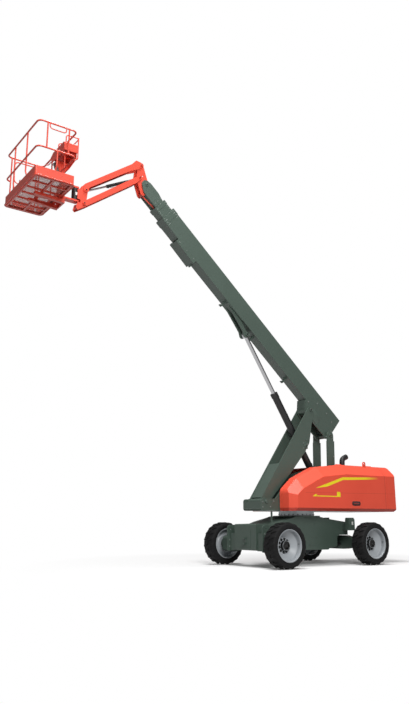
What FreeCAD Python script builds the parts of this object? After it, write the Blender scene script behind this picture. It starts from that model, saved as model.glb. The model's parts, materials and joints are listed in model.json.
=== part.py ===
import FreeCAD, Part
import math
import os

# Telescopic boom lift, in millimetres, standing on Z = 0.
# The origin is on the floor under the slewing axis. The boom points towards -Y, the counterweight
# lies towards +Y, and the machine's two sides mirror each other across X = 0.

V = FreeCAD.Vector
os.makedirs("parts", exist_ok=True)

# ---------------------------------------------------------------- driving dimensions
OVERALL_WIDTH = 2490.0
TYRE_RADIUS = 472.0
TYRE_WIDTH = 349.0
RIM_RADIUS = 334.0
WHEEL_X = (OVERALL_WIDTH - TYRE_WIDTH) / 2
AXLE_FRONT_Y = -1327.0
AXLE_REAR_Y = 1290.0
KINGPIN_X = 812.0

RUNNING_FIT = 0.05          # radial clearance of a pin in its bore
LASHING_RADIUS = 25.0       # the holes in the front end plates that lashings go through
HITCH_PIN_RADIUS = 14.0     # the hole down through the two lugs of the towing hitch
HITCH_PIN_Y = -1567.0
PIVOT_DRUM_RADIUS = 125.0   # the drum on the boom's pivot shaft, between the tail plates

FLOOR_PLATE_Z = 1195.0      # underside of the turntable
TURNTABLE_HALF = 310.0      # outer faces of the turntable's two boom plates
HOOD_HALF = 785.0           # outer faces of the hoods
HOOD_TOP_Z = 2275.0
HOOD_BOTTOM_Z = 1190.0
HOOD_REAR_Y = 2310.0        # where the hoods end and the counterweight starts
HOOD_INNER_X = 335.0
HOOD_HINGE_X = 458.0
HOOD_HINGE_Z = 2287.0
HINGE_YS = (960.0, 2000.0)
HINGE_PIN_RADIUS = 6.0
HOOD_WALL = 12.0
TAIL_Y = 2665.0

# pivots of the boom linkage in the YZ plane, boom raised to BOOM_ELEVATION
ARM_FOOT = (-1164.0, 1391.0)
ARM_TOP = (400.0, 3600.0)
LINK_TOP = (975.0, 3010.0)
LINK_FOOT = (940.0, 1580.0)
TRUNNION = (185.0, 2700.0)
ROD_EYE = (-1454.0, 5241.0)
BOOM_ELEVATION = 41.3

# boom sections: half width, underside and top above the boom pivot, rear and front end along it
OUTER = {"half": 137.0, "low": 132.0, "high": 564.0, "rear": -900.0, "front": 5800.0, "wall": 8.0}
MIDDLE = {"half": 117.0, "low": 172.0, "high": 524.0, "rear": -560.0, "front": 6075.0, "wall": 7.0}
TIP = {"half": 97.0, "low": 205.0, "high": 485.0, "rear": -300.0, "front": 6180.0, "wall": 6.0}

# jib: a parallelogram of upper arm and lower rod between the head bracket and the platform bracket
HEAD_PIN = (-4270.0, 8240.0)
JIB_REAR_TOP = (-4416.0, 8680.0)
JIB_REAR_LOW = (-4445.0, 8371.0)
JIB_VECTOR = (-1302.0, -985.0)
LEVEL_PIN = (-4350.0, 8010.0)
ROTATOR_Y = -5925.0
ROTATOR_LOW_Z = 7440.0
ROTATOR_HIGH_Z = 7690.0

# platform basket
BASKET_Y = -6709.0
BASKET_HALF_X = 879.0
BASKET_HALF_Y = 415.0
FLOOR_HALF_X = 818.0
FLOOR_HALF_Y = 385.0
ANCHOR_RADIUS = 16.0        # the lanyard anchor's eye
BASKET_FLOOR_Z = 7340.0
TOP_RAIL_Z = 8456.0
MID_RAIL_Z = 7910.0
RAIL_RADIUS = 17.0


# ---------------------------------------------------------------- small shape helpers
def box(x0, x1, y0, y1, z0, z1):
    return Part.makeBox(x1 - x0, y1 - y0, z1 - z0, V(x0, y0, z0))


def rod(start, end, radius):
    """A round bar from start to end."""
    axis = V(*end) - V(*start)
    return Part.makeCylinder(radius, axis.Length, V(*start), axis)


def cross_pin(y, z, radius, x0, x1):
    """A round bar along X."""
    return Part.makeCylinder(radius, x1 - x0, V(x0, y, z), V(1, 0, 0))


def fuse(shapes):
    whole = shapes[0]
    if len(shapes) > 1:
        whole = whole.multiFuse(shapes[1:])
    return whole.removeSplitter()


def cut(shape, tools):
    for tool in tools:
        shape = shape.cut(tool)
    return shape


def mirrored(shape):
    """The same shape on the other side of X = 0."""
    return shape.mirror(V(0, 0, 0), V(1, 0, 0))


def both_sides(shape):
    return [shape, mirrored(shape)]


def face_from(points, to_3d):
    """A face from (a, b) or (a, b, radius) corners, rounded where a radius is given."""
    edges = []
    corners = []
    count = len(points)
    for i, point in enumerate(points):
        here = V(point[0], point[1], 0)
        before = V(points[i - 1][0], points[i - 1][1], 0)
        after = V(points[(i + 1) % count][0], points[(i + 1) % count][1], 0)
        radius = point[2] if len(point) > 2 else 0.0
        if radius == 0.0:
            corners.append((here, None, here))
            continue
        to_before = (before - here).normalize()
        to_after = (after - here).normalize()
        half = to_before.getAngle(to_after) / 2
        reach = radius / math.tan(half)
        centre = here + (to_before + to_after).normalize() * (radius / math.sin(half))
        middle = centre + (here - centre).normalize() * radius
        corners.append((here + to_before * reach, middle, here + to_after * reach))
    for i, (start, middle, end) in enumerate(corners):
        if middle is not None:
            edges.append(Part.Arc(to_3d(start), to_3d(middle), to_3d(end)).toShape())
        following = corners[(i + 1) % count][0]
        if (following - end).Length > 1e-6:
            edges.append(Part.makeLine(to_3d(end), to_3d(following)))
    return Part.Face(Part.Wire(edges))


def plate_yz(points, x0, x1):
    """A plate between x0 and x1 whose outline is given by (y, z) corners."""
    return face_from(points, lambda p: V(x0, p.x, p.y)).extrude(V(x1 - x0, 0, 0))


def plate_xz(points, y0, y1):
    """A plate between y0 and y1 whose outline is given by (x, z) corners."""
    return face_from(points, lambda p: V(p.x, y0, p.y)).extrude(V(0, y1 - y0, 0))


def plate_xy(points, z0, z1):
    """A plate between z0 and z1 whose outline is given by (x, y) corners."""
    return face_from(points, lambda p: V(p.x, p.y, z0)).extrude(V(0, 0, z1 - z0))


def lug(circles, x0, x1):
    """A plate whose outline is the belt round circles given as (y, z, radius)."""
    pieces = []
    for y, z, radius in circles:
        pieces.append(cross_pin(y, z, radius, x0, x1))
    for (y0, z0, r0), (y1, z1, r1) in zip(circles, circles[1:]):
        along = V(y1 - y0, z1 - z0, 0)
        lean = math.asin((r0 - r1) / along.Length)
        heading = math.atan2(along.y, along.x)
        side_a = heading + math.pi / 2 - lean
        side_b = heading - math.pi / 2 + lean
        belt = []
        for y, z, radius, side in ((y0, z0, r0, side_a), (y1, z1, r1, side_a),
                                   (y1, z1, r1, side_b), (y0, z0, r0, side_b)):
            belt.append((y + radius * math.cos(side), z + radius * math.sin(side)))
        pieces.append(plate_yz(belt, x0, x1))
    return fuse(pieces)


def tube_path(points, radius, bend):
    """A solid round rail through the points, its corners bent to the given radius."""
    places = [V(*p) for p in points]
    closed = (places[0] - places[-1]).Length < 1e-6
    if closed:
        places = places[:-1]
    count = len(places)
    corners = []
    for i, here in enumerate(places):
        if not closed and i in (0, count - 1):
            corners.append((here, None, here))
            continue
        before = (places[i - 1] - here).normalize()
        after = (places[(i + 1) % count] - here).normalize()
        half = before.getAngle(after) / 2
        reach = bend / math.tan(half)
        centre = here + (before + after).normalize() * (bend / math.sin(half))
        middle = centre + (here - centre).normalize() * bend
        corners.append((here + before * reach, middle, here + after * reach))
    edges = []
    for i in range(count):
        start, middle, end = corners[i]
        if middle is not None:
            edges.append(Part.Arc(start, middle, end).toShape())
        if i < count - 1 or closed:
            edges.append(Part.makeLine(end, corners[(i + 1) % count][0]))
    if closed:
        edges = edges[-1:] + edges[:-1]
    path = Part.Wire(edges)
    first = edges[0]
    origin = first.valueAt(first.FirstParameter)
    heading = first.tangentAt(first.FirstParameter)
    profile = Part.Wire([Part.makeCircle(radius, origin, heading)])
    return path.makePipeShell([profile], True, False)


def turned(shape, pivot, degrees):
    """The shape turned about the X axis through the pivot (y, z)."""
    turned_shape = shape.copy()
    turned_shape.rotate(V(0, pivot[0], pivot[1]), V(1, 0, 0), degrees)
    return turned_shape


def on_boom(shape):
    """Places a shape drawn level about the boom pivot, pointing towards -Y, on the raised boom."""
    placed = shape.copy()
    placed.translate(V(0, ARM_TOP[0], ARM_TOP[1]))
    return turned(placed, ARM_TOP, -BOOM_ELEVATION)


def boom_point(along, above):
    """The (y, z) place of a point given along the boom and above its pivot."""
    lean = math.radians(BOOM_ELEVATION)
    y = ARM_TOP[0] - along * math.cos(lean) + above * math.sin(lean)
    z = ARM_TOP[1] + along * math.sin(lean) + above * math.cos(lean)
    return (y, z)


def between(first, second, share):
    return (first[0] + (second[0] - first[0]) * share, first[1] + (second[1] - first[1]) * share)


def length_between(first, second):
    return math.hypot(second[0] - first[0], second[1] - first[1])


def toward(first, second, distance):
    """The (y, z) point this far from first on the line to second."""
    return between(first, second, distance / length_between(first, second))


def bore(place, radius, x0, x1):
    return cross_pin(place[0], place[1], radius + RUNNING_FIT, x0, x1)


# ---------------------------------------------------------------- wheels and axles
def tyre(x, y):
    """A tyre with a rounded shoulder, turned about its own axle."""
    half = TYRE_WIDTH / 2
    outline = [(-half + 12, RIM_RADIUS), (-half, RIM_RADIUS + 40, 20), (-half, TYRE_RADIUS - 30, 25),
               (-half + 45, TYRE_RADIUS, 30), (half - 45, TYRE_RADIUS, 30),
               (half, TYRE_RADIUS - 30, 25), (half, RIM_RADIUS + 40, 20), (half - 12, RIM_RADIUS)]
    face = face_from(outline, lambda p: V(p.x, 0, p.y))
    ring = face.revolve(V(0, 0, 0), V(1, 0, 0), 360)
    ring.translate(V(x, y, TYRE_RADIUS))
    return ring


def rim(x, y, outward):
    """A deep dished rim with its wheel disc and hub; outward is +1 or -1 along X."""
    half = TYRE_WIDTH / 2
    fit = RIM_RADIUS - 0.2
    outline = [(half - 14, fit), (half - 14, fit - 16), (half - 40, fit - 28), (60, fit - 34),
               (48, fit - 42), (-35, 175), (-35, 60), (-60, 60), (-60, 190), (20, fit - 26),
               (-half + 30, fit - 26), (-half + 14, fit - 16), (-half + 14, fit)]
    dish = face_from(outline, lambda p: V(p.x * outward, 0, p.y)).revolve(V(0, 0, 0), V(1, 0, 0), 360)
    hub = Part.makeCylinder(99, 110, V(-60 * outward, 0, 0), V(outward, 0, 0))
    whole = fuse([dish, hub])
    whole.translate(V(x, y, TYRE_RADIUS))
    return whole


def wheels():
    for end, y in (("front", AXLE_FRONT_Y), ("rear", AXLE_REAR_Y)):
        for side, sign in (("left", 1), ("right", -1)):
            save("tyre_%s_%s" % (end, side), tyre(sign * WHEEL_X, y))
            save("rim_%s_%s" % (end, side), rim(sign * WHEEL_X, y, sign))


def front_axle():
    """The fixed drive axle: wings on the frame's nose box, end plates, carriers and motor housings."""
    wing = box(377.2, 602, AXLE_FRONT_Y - 173, AXLE_FRONT_Y + 150, 340, 710)
    end_plate = plate_yz([(-1560, 320, 25), (-1560, 850, 70), (-1490, 890, 60), (-1170, 890, 60),
                          (-1100, 850, 60), (-1100, 400, 60), (-1180, 320, 40)], 600, 630)
    carrier = plate_yz([(-1510, 340, 40), (-1510, 620, 60), (-1400, 660, 40), (-1250, 660, 40),
                        (-1140, 620, 60), (-1140, 340, 40), (-1250, 300, 40), (-1400, 300, 40)], 628, 860)
    housing = Part.makeCylinder(150, 100, V(850, AXLE_FRONT_Y, TYRE_RADIUS), V(1, 0, 0))
    nose = Part.makeCylinder(120, 60, V(945, AXLE_FRONT_Y, TYRE_RADIUS), V(1, 0, 0))
    side = fuse([wing, end_plate, carrier, housing, nose])
    side = side.cut(cross_pin(-1465, 798, LASHING_RADIUS, 590, 640))
    return both_sides(side)


def rear_axle():
    """The oscillating steering axle: a beam under the frame with a fork at each end."""
    beam = plate_xz([(-700, 380, 20), (-700, 560, 20), (-330, 640), (330, 640), (700, 560, 20),
                     (700, 380, 20), (300, 330), (-300, 330)], AXLE_REAR_Y - 95, AXLE_REAR_Y + 95)
    pieces = [beam]
    for sign in (1, -1):
        inner, outer = sorted((sign * 690, sign * 870))
        for z0, z1 in ((340, 388), (556, 604)):
            ear = box(inner, outer, AXLE_REAR_Y - 75, AXLE_REAR_Y + 75, z0, z1)
            pieces.append(ear)
    whole = fuse(pieces)
    holes = []
    for sign in (1, -1):
        holes.append(Part.makeCylinder(30 + RUNNING_FIT, 400, V(sign * KINGPIN_X, AXLE_REAR_Y, 300)))
    return cut(whole, holes)


def steering_knuckle(sign):
    """A kingpin block between the axle's ears, with the stub that carries the wheel motor."""
    block = Part.makeCylinder(62, 160, V(sign * KINGPIN_X, AXLE_REAR_Y, 392))
    pin = Part.makeCylinder(30, 276, V(sign * KINGPIN_X, AXLE_REAR_Y, 334))
    stub = Part.makeCylinder(78, 130, V(sign * (KINGPIN_X + 20), AXLE_REAR_Y, TYRE_RADIUS), V(sign, 0, 0))
    flange = Part.makeCylinder(120, 50, V(sign * (KINGPIN_X + 145), AXLE_REAR_Y, TYRE_RADIUS), V(sign, 0, 0))
    x0, x1 = sorted((sign * (KINGPIN_X - 55), sign * (KINGPIN_X + 5)))
    arm = box(x0, x1, AXLE_REAR_Y - 290, AXLE_REAR_Y - 20, 430, 462)
    return fuse([block, pin, stub, flange, arm])


def steering_cylinder():
    """The double ended cylinder that lies along the steering axle."""
    barrel = rod((-260, AXLE_REAR_Y - 250, 446), (260, AXLE_REAR_Y - 250, 446), 48)
    foot = box(-220, 220, AXLE_REAR_Y - 240, AXLE_REAR_Y - 95.2, 420, 472)
    return fuse([barrel, foot])


def frame_prism(inset):
    """The frame's plan outline, its nose narrower than its middle, as an upright prism."""
    wide = 470.0 - inset
    narrow = 377.0 - inset
    nose = -1534.0 + inset
    tail = 1190.0 - inset
    return plate_xy([(-narrow, nose), (narrow, nose), (narrow, -1150), (wide, -900), (wide, tail),
                     (-wide, tail), (-wide, -900), (-narrow, -1150)], 200, 1200)


def chassis_frame():
    """The welded frame between the axles, its top falling away towards both of them."""
    side = [(-1534, 905, 30), (-1090, 915), (-560, 1035), (-420, 1075), (240, 1075), (608, 1015),
            (1150, 950), (1190, 920), (1190, 656), (905, 656), (836, 620), (825, 400), (594, 373),
            (529, 333), (-1534, 350, 30)]
    inner = [(-1500, 875), (-1090, 885), (-560, 1005), (560, 985), (1150, 920), (1150, 686),
             (890, 686), (806, 640), (795, 428), (594, 403), (529, 363), (-1500, 380)]
    shell = plate_yz(side, -480, 480).common(frame_prism(0.0))
    hollow = plate_yz(inner, -480, 480).common(frame_prism(18.0))
    ring_seat = Part.makeCylinder(545, 30, V(0, 0, 1060))
    post = plate_yz([(950, 760), (975, 1030, 15), (1000, 1047, 15), (1125, 1047, 20), (1160, 1000, 15),
                     (1160, 760)], 610, 735)
    arm = box(460, 615, 1010, 1150, 780, 900)
    cover = box(-190, 190, -1540, -1530, 420, 775)
    hitch = fuse([box(-42, 42, -1600, -1535, 470, 500), box(-42, 42, -1600, -1535, 585, 615),
                  box(-60, 60, -1545, -1535, 455, 630)])
    hitch = hitch.cut(rod((0, HITCH_PIN_Y, 460), (0, HITCH_PIN_Y, 625), HITCH_PIN_RADIUS))
    lock_seat = box(285, 345, 620, 730, 1000, 1050)
    return fuse([shell.cut(hollow), ring_seat, cover, hitch, lock_seat] + both_sides(fuse([post, arm])))


def slew_ring():
    """The slewing bearing under the turntable."""
    ring = Part.makeCylinder(410, 104, V(0, 0, 1090.5)).cut(Part.makeCylinder(300, 104, V(0, 0, 1090.5)))
    return ring


def turntable_lock():
    """The post that pins the turntable for transport."""
    post = fuse([rod((225, -950, 900), (225, -950, 1180), 22), rod((225, -950, 900), (225, -950, 990), 40)])
    return post.cut(chassis_frame())


# ---------------------------------------------------------------- turntable
def turntable_frame():
    """A base plate with two tall plates that carry the lower arm and the rear links."""
    floor_end = HOOD_REAR_Y - HOOD_WALL - 6
    side_outline = [(-1330, FLOOR_PLATE_Z, 55), (-1330, 1450, 60), (-900, 1460), (-560, 1800),
                    (-120, 2030), (520, 2160, 120), (1150, 2160, 120), (1330, 1640, 60),
                    (floor_end, 1600), (floor_end, FLOOR_PLATE_Z)]
    plate = plate_yz(side_outline, TURNTABLE_HALF - 30, TURNTABLE_HALF)
    floor = plate_xy([(-TURNTABLE_HALF, -1275), (TURNTABLE_HALF, -1275), (TURNTABLE_HALF, -620),
                      (700, -560), (700, floor_end), (-700, floor_end), (-700, -560),
                      (-TURNTABLE_HALF, -620)], FLOOR_PLATE_Z, FLOOR_PLATE_Z + 32)
    front = box(-TURNTABLE_HALF + 20, TURNTABLE_HALF - 20, -1330, -1300, FLOOR_PLATE_Z + 55, 1390)
    nose_floor = box(-TURNTABLE_HALF + 20, TURNTABLE_HALF - 20, -1300, -1250,
                     FLOOR_PLATE_Z, FLOOR_PLATE_Z + 32)
    lip = plate_yz([(-1330, 1250), (-1330, FLOOR_PLATE_Z, 55), (-1240, FLOOR_PLATE_Z),
                    (-1240, FLOOR_PLATE_Z + 30), (-1300, FLOOR_PLATE_Z + 30, 26), (-1300, 1250)],
                   -TURNTABLE_HALF + 20, TURNTABLE_HALF - 20)
    whole = fuse(both_sides(plate) + [floor, front, nose_floor, lip])
    holes = [bore(ARM_FOOT, 45, -400, 400)]
    return cut(whole, holes)


def counterweight():
    """The cast tail weight, with a channel down its middle for the lowered boom."""
    body = plate_xy([(-HOOD_HALF, HOOD_REAR_Y + 6), (HOOD_HALF, HOOD_REAR_Y + 6),
                     (HOOD_HALF, TAIL_Y - 60), (HOOD_HALF - 95, TAIL_Y), (-HOOD_HALF + 95, TAIL_Y),
                     (-HOOD_HALF, TAIL_Y - 60)], HOOD_BOTTOM_Z, HOOD_TOP_Z + 10)
    slope = 235.0
    shoulder = HOOD_TOP_Z - slope
    keep = plate_xz([(-HOOD_HALF + 40, HOOD_BOTTOM_Z), (-HOOD_HALF, HOOD_BOTTOM_Z + 62),
                     (-HOOD_HALF, shoulder), (-HOOD_HALF + 230, HOOD_TOP_Z), (-345, HOOD_TOP_Z),
                     (-345, 1850, 40), (345, 1850, 40), (345, HOOD_TOP_Z),
                     (HOOD_HALF - 230, HOOD_TOP_Z), (HOOD_HALF, shoulder),
                     (HOOD_HALF, HOOD_BOTTOM_Z + 62), (HOOD_HALF - 40, HOOD_BOTTOM_Z)],
                    HOOD_REAR_Y, TAIL_Y + 10)
    rear = plate_yz([(HOOD_REAR_Y, HOOD_BOTTOM_Z), (TAIL_Y - 120, HOOD_BOTTOM_Z),
                     (TAIL_Y, HOOD_BOTTOM_Z + 75), (TAIL_Y - 15, 1460), (TAIL_Y - 30, 2100),
                     (TAIL_Y - 60, HOOD_TOP_Z - 25, 30), (TAIL_Y - 110, HOOD_TOP_Z),
                     (HOOD_REAR_Y, HOOD_TOP_Z)], -HOOD_HALF, HOOD_HALF)
    return body.common(keep).common(rear)


def engine_block():
    """The engine's mass as one plain block beside the boom plates."""
    return box(370, 700, 300, 1500, FLOOR_PLATE_Z + 32.2, 1900)


def hood_profile(inset):
    return [(-790 + inset, HOOD_BOTTOM_Z), (-790 + inset, 1650, 170 - inset),
            (-480 + inset * 0.5, 1915 - inset), (150, 2195 - inset, 300),
            (900, HOOD_TOP_Z - inset), (HOOD_REAR_Y, HOOD_TOP_Z - inset), (HOOD_REAR_Y, HOOD_BOTTOM_Z)]


def hood_block(inset, inner_x):
    """A solid in the hood's outer shape, drawn in by the inset."""
    half = HOOD_HALF - inset
    body = plate_yz(hood_profile(inset), inner_x, half)
    chamfer_run = 230.0
    chamfer_drop = 235.0
    slopes = []
    top = [(-1000, 1492 - inset), (-480 + inset * 0.5, 1915 - inset), (150, 2195 - inset),
           (900, HOOD_TOP_Z - inset), (HOOD_REAR_Y + 10, HOOD_TOP_Z - inset)]
    for (y0, z0), (y1, z1) in zip(top, top[1:]):
        corner = [V(half - chamfer_run, y0, z0), V(half - chamfer_run, y1, z1),
                  V(half, y1, z1 - chamfer_drop), V(half, y0, z0 - chamfer_drop)]
        high = V(0, 0, 900)
        side = V(chamfer_run, 0, -chamfer_drop)
        ring = [corner[0], corner[3] + side, corner[3] + side + high, corner[0] + high, corner[0]]
        face = Part.Face(Part.makePolygon(ring))
        slopes.append(face.extrude(V(0, y1 - y0, z1 - z0)))
    front = plate_xy([(half - 150, -1000), (half - 150, -791 + inset), (half, -655 + inset),
                      (half + 50, -655 + inset), (half + 50, -1000)], HOOD_BOTTOM_Z - 10, HOOD_TOP_Z + 300)
    low = plate_xz([(half - 40, HOOD_BOTTOM_Z - 1), (half + 10, HOOD_BOTTOM_Z + 78),
                    (half + 60, HOOD_BOTTOM_Z - 1)], -1000, HOOD_REAR_Y + 10)
    return cut(body, slopes + [front, low])


def hood_shell():
    """One side of the covers as a shell, open underneath and towards the boom."""
    outer = hood_block(0.0, HOOD_INNER_X)
    hollow = hood_block(HOOD_WALL, HOOD_INNER_X - 40)
    floor_gap = box(HOOD_INNER_X - 40, HOOD_HALF - 58, -700, HOOD_REAR_Y - HOOD_WALL,
                    HOOD_BOTTOM_Z - 60, HOOD_BOTTOM_Z + 200)
    end_wall = box(HOOD_INNER_X - 40, HOOD_HALF, HOOD_REAR_Y - HOOD_WALL, HOOD_REAR_Y + 5, 1000, 2400)
    return outer.cut(hollow.fuse(floor_gap).cut(end_wall))


def knuckle(y0, y1, side):
    """One knuckle of a hood hinge from y0 to y1; side is +1 on the lid and -1 on the strip."""
    tube = rod((HOOD_HINGE_X, y0, HOOD_HINGE_Z), (HOOD_HINGE_X, y1, HOOD_HINGE_Z), 11)
    leaf_x0, leaf_x1 = sorted((HOOD_HINGE_X + side * 3.5, HOOD_HINGE_X + side * 32))
    return tube.fuse(box(leaf_x0, leaf_x1, y0, y1, HOOD_TOP_Z - 6, HOOD_TOP_Z + 5))


def hood_lid():
    """The hood that opens: everything outboard of the hinge line, with its lifting eye."""
    lid = hood_shell().common(box(HOOD_HINGE_X + 3, 1000, -1000, 3000, 1000, 2600))
    eye = lug([(1760, HOOD_TOP_Z - 6, 50), (1760, HOOD_TOP_Z + 62, 46)], 560, 584)
    eye = eye.cut(cross_pin(1760, HOOD_TOP_Z + 66, 24, 550, 600))
    whole = fuse([lid, eye] + [knuckle(y, y + 70, 1) for y in HINGE_YS])
    bores = []
    for y in HINGE_YS:
        bores.append(rod((HOOD_HINGE_X, y - 5, HOOD_HINGE_Z), (HOOD_HINGE_X, y + 75, HOOD_HINGE_Z),
                         HINGE_PIN_RADIUS + RUNNING_FIT))
    return cut(whole, bores)


def hood_strip():
    """The fixed inner strip of one hood, which carries the hinge pins and the exhaust."""
    pieces = [hood_shell().common(box(0, HOOD_HINGE_X - 3, -1000, 3000, 1000, 2600))]
    for y in HINGE_YS:
        pieces.append(knuckle(y - 62, y - 2, -1))
        pieces.append(knuckle(y + 72, y + 132, -1))
        pieces.append(rod((HOOD_HINGE_X, y - 62, HOOD_HINGE_Z), (HOOD_HINGE_X, y + 132, HOOD_HINGE_Z),
                          HINGE_PIN_RADIUS))
    return fuse(pieces)


def exhaust_pipe():
    """The bent exhaust outlet that stands over the inner strip."""
    start = (396, 1190, HOOD_TOP_Z + 0.2)
    return tube_path([start, (396, 1190, HOOD_TOP_Z + 160), (404, 1335, HOOD_TOP_Z + 222)], 64, 110)


# ---------------------------------------------------------------- lower arm and rear links
def arm_point(along, below):
    """The (y, z) place of a point given along the lower arm's pin line and below it."""
    length = length_between(ARM_FOOT, ARM_TOP)
    along_y = (ARM_TOP[0] - ARM_FOOT[0]) / length
    along_z = (ARM_TOP[1] - ARM_FOOT[1]) / length
    y = ARM_FOOT[0] + along * along_y + below * along_z
    z = ARM_FOOT[1] + along * along_z - below * along_y
    return (y, z)


def arm_outline(shapes):
    points = []
    for entry in shapes:
        y, z = arm_point(entry[0], entry[1])
        points.append((y, z) + tuple(entry[2:]))
    return points


ARM_OUT = 205.0
ARM_PLATE = 30.0


def lower_arm():
    """Two shaped plates joined by a front web and cross tubes, pinned to the turntable."""
    reach = length_between(ARM_FOOT, ARM_TOP)
    outline = arm_outline([(-105, -60, 60), (60, -92, 60), (reach + 40, -92, 80), (reach + 100, 0, 60),
                           (reach + 50, 95, 60), (reach - 190, 170, 120), (1990, 395, 70),
                           (1730, 400, 70), (1150, 325, 200), (150, 150, 100), (-105, 110, 90)])
    plate = plate_yz(outline, ARM_OUT - ARM_PLATE, ARM_OUT)
    inner = ARM_OUT - ARM_PLATE
    web = plate_yz(arm_outline([(60, -80), (1020, -80), (1020, -60), (60, -60)]), -inner, inner)
    back = plate_yz(arm_outline([(200, 130), (1100, 290), (1100, 270), (200, 110)]), -inner, inner)
    tie = cross_pin(*arm_point(1230, 235), 40, -inner, inner)
    foot = cross_pin(*ARM_FOOT, 78, -TURNTABLE_HALF + 38, TURNTABLE_HALF - 38)
    foot_pin = cross_pin(*ARM_FOOT, 45, -TURNTABLE_HALF - 12, TURNTABLE_HALF + 12)
    bosses = []
    for shape in both_sides(cross_pin(*TRUNNION, 62, inner - 2, ARM_OUT + 6)):
        bosses.append(shape)
    whole = fuse(both_sides(plate) + [web, back, tie, foot, foot_pin] + bosses)
    return cut(whole, [bore(ARM_TOP, 38, -300, 300), bore(TRUNNION, 35, -300, 300)])


def boom_pivot_pin():
    """The shaft that joins the lower arm's fork to the boom's tail plates, with the drum it carries
    between the plates.
    """
    shaft = cross_pin(*ARM_TOP, 38, -ARM_OUT - 8, ARM_OUT + 8)
    drum = cross_pin(*ARM_TOP, PIVOT_DRUM_RADIUS, -OUTER["half"] + 0.8, OUTER["half"] - 0.8)
    return shaft.fuse(drum)


def rear_link_pin():
    """The shaft that joins the rear links to the boom's tail plates."""
    return cross_pin(*LINK_TOP, 32, -268, 268)


LINK_IN = 213.0
LINK_OUT = 258.0


def rear_links():
    """Two upright links, joined by a cross tube part way up."""
    post = lug([(LINK_TOP[0], LINK_TOP[1], 95), (LINK_FOOT[0], LINK_FOOT[1], 95)], LINK_IN, LINK_OUT)
    mid = between(LINK_TOP, LINK_FOOT, 0.5)
    post = post.fuse(plate_yz([(mid[0] - 122, mid[1] - 480), (mid[0] - 92, mid[1] + 580),
                               (mid[0] + 138, mid[1] + 580), (mid[0] + 108, mid[1] - 480)],
                              LINK_IN, LINK_OUT))
    cross = toward(LINK_FOOT, LINK_TOP, 560)
    tie = cross_pin(*cross, 38, -LINK_IN - 2, LINK_IN + 2)
    whole = fuse(both_sides(post) + [tie])
    return cut(whole, [bore(LINK_TOP, 32, -400, 400), cross_pin(*LINK_FOOT, 36, -400, 400)])


# ---------------------------------------------------------------- lift cylinder
BARREL_RADIUS = 82.0
ROD_RADIUS = 47.0
ROD_HEAD_RADIUS = 36.0
BARREL_MOUTH = 1452.0       # from the trunnion towards the rod's eye
BARREL_TAIL = 610.0         # from the trunnion the other way


def along_cylinder(distance):
    y, z = toward(TRUNNION, ROD_EYE, distance)
    return (0.0, y, z)


def trunnion_pins():
    """The two stub shafts that the lift cylinder swings on."""
    stub = cross_pin(*TRUNNION, 35, 108, ARM_OUT + 12)
    return both_sides(stub)


def lift_barrel():
    barrel = rod(along_cylinder(-BARREL_TAIL), along_cylinder(BARREL_MOUTH), BARREL_RADIUS)
    gland = rod(along_cylinder(BARREL_MOUTH - 90), along_cylinder(BARREL_MOUTH + 10), BARREL_RADIUS + 8)
    bosses = []
    for shape in both_sides(cross_pin(*TRUNNION, 62, 40, 165)):
        bosses.append(shape)
    whole = fuse([barrel, gland] + bosses)
    hollow = rod(along_cylinder(-BARREL_TAIL + 60), along_cylinder(BARREL_MOUTH - 80), BARREL_RADIUS - 14)
    mouth = rod(along_cylinder(BARREL_MOUTH - 90), along_cylinder(BARREL_MOUTH + 40),
                ROD_RADIUS + RUNNING_FIT)
    pin_holes = []
    for shape in both_sides(cross_pin(*TRUNNION, 35 + RUNNING_FIT, 104, 170)):
        pin_holes.append(shape)
    return cut(whole, [hollow, mouth] + pin_holes)


def lift_rod():
    """The main rod, a tube that the rod's head runs in."""
    reach = length_between(TRUNNION, ROD_EYE)
    tube = rod(along_cylinder(BARREL_MOUTH - 170), along_cylinder(reach - 105), ROD_RADIUS)
    piston = rod(along_cylinder(BARREL_MOUTH - 240), along_cylinder(BARREL_MOUTH - 150), BARREL_RADIUS - 16)
    whole = fuse([tube, piston])
    hollow = rod(along_cylinder(reach - 800), along_cylinder(reach - 100), ROD_HEAD_RADIUS + RUNNING_FIT)
    return whole.cut(hollow)


def lift_rod_head():
    """The rod's head with the eye that reaches the boom bracket."""
    reach = length_between(TRUNNION, ROD_EYE)
    stem = rod(along_cylinder(reach - 780), along_cylinder(reach - 20), ROD_HEAD_RADIUS)
    collar = rod(along_cylinder(reach - 104.8), along_cylinder(reach - 40), ROD_RADIUS)
    eye = cross_pin(*ROD_EYE, 78, -45, 45)
    whole = fuse([stem, collar, eye])
    return whole.cut(cross_pin(*ROD_EYE, 38, -60, 60))


# ---------------------------------------------------------------- boom
def boom_tube(section):
    half = section["half"]
    low = section["low"]
    high = section["high"]
    wall = section["wall"]
    outer = plate_xz([(-half, low, 14), (half, low, 14), (half, high, 14), (-half, high, 14)],
                     -section["front"], -section["rear"])
    inner = plate_xz([(-half + wall, low + wall, 8), (half - wall, low + wall, 8),
                      (half - wall, high - wall, 8), (-half + wall, high - wall, 8)],
                     -section["front"] - 10, -section["rear"] + 10)
    return outer.cut(inner)


def boom_outer_section():
    """The outer boom section, closed at its rear by a plate."""
    tube = boom_tube(OUTER)
    rear = box(-OUTER["half"] + 3, OUTER["half"] - 3, -OUTER["rear"] - 12, -OUTER["rear"] - 1,
               OUTER["low"] + 3, OUTER["high"] - 3)
    return on_boom(fuse([tube, rear]))


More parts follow.
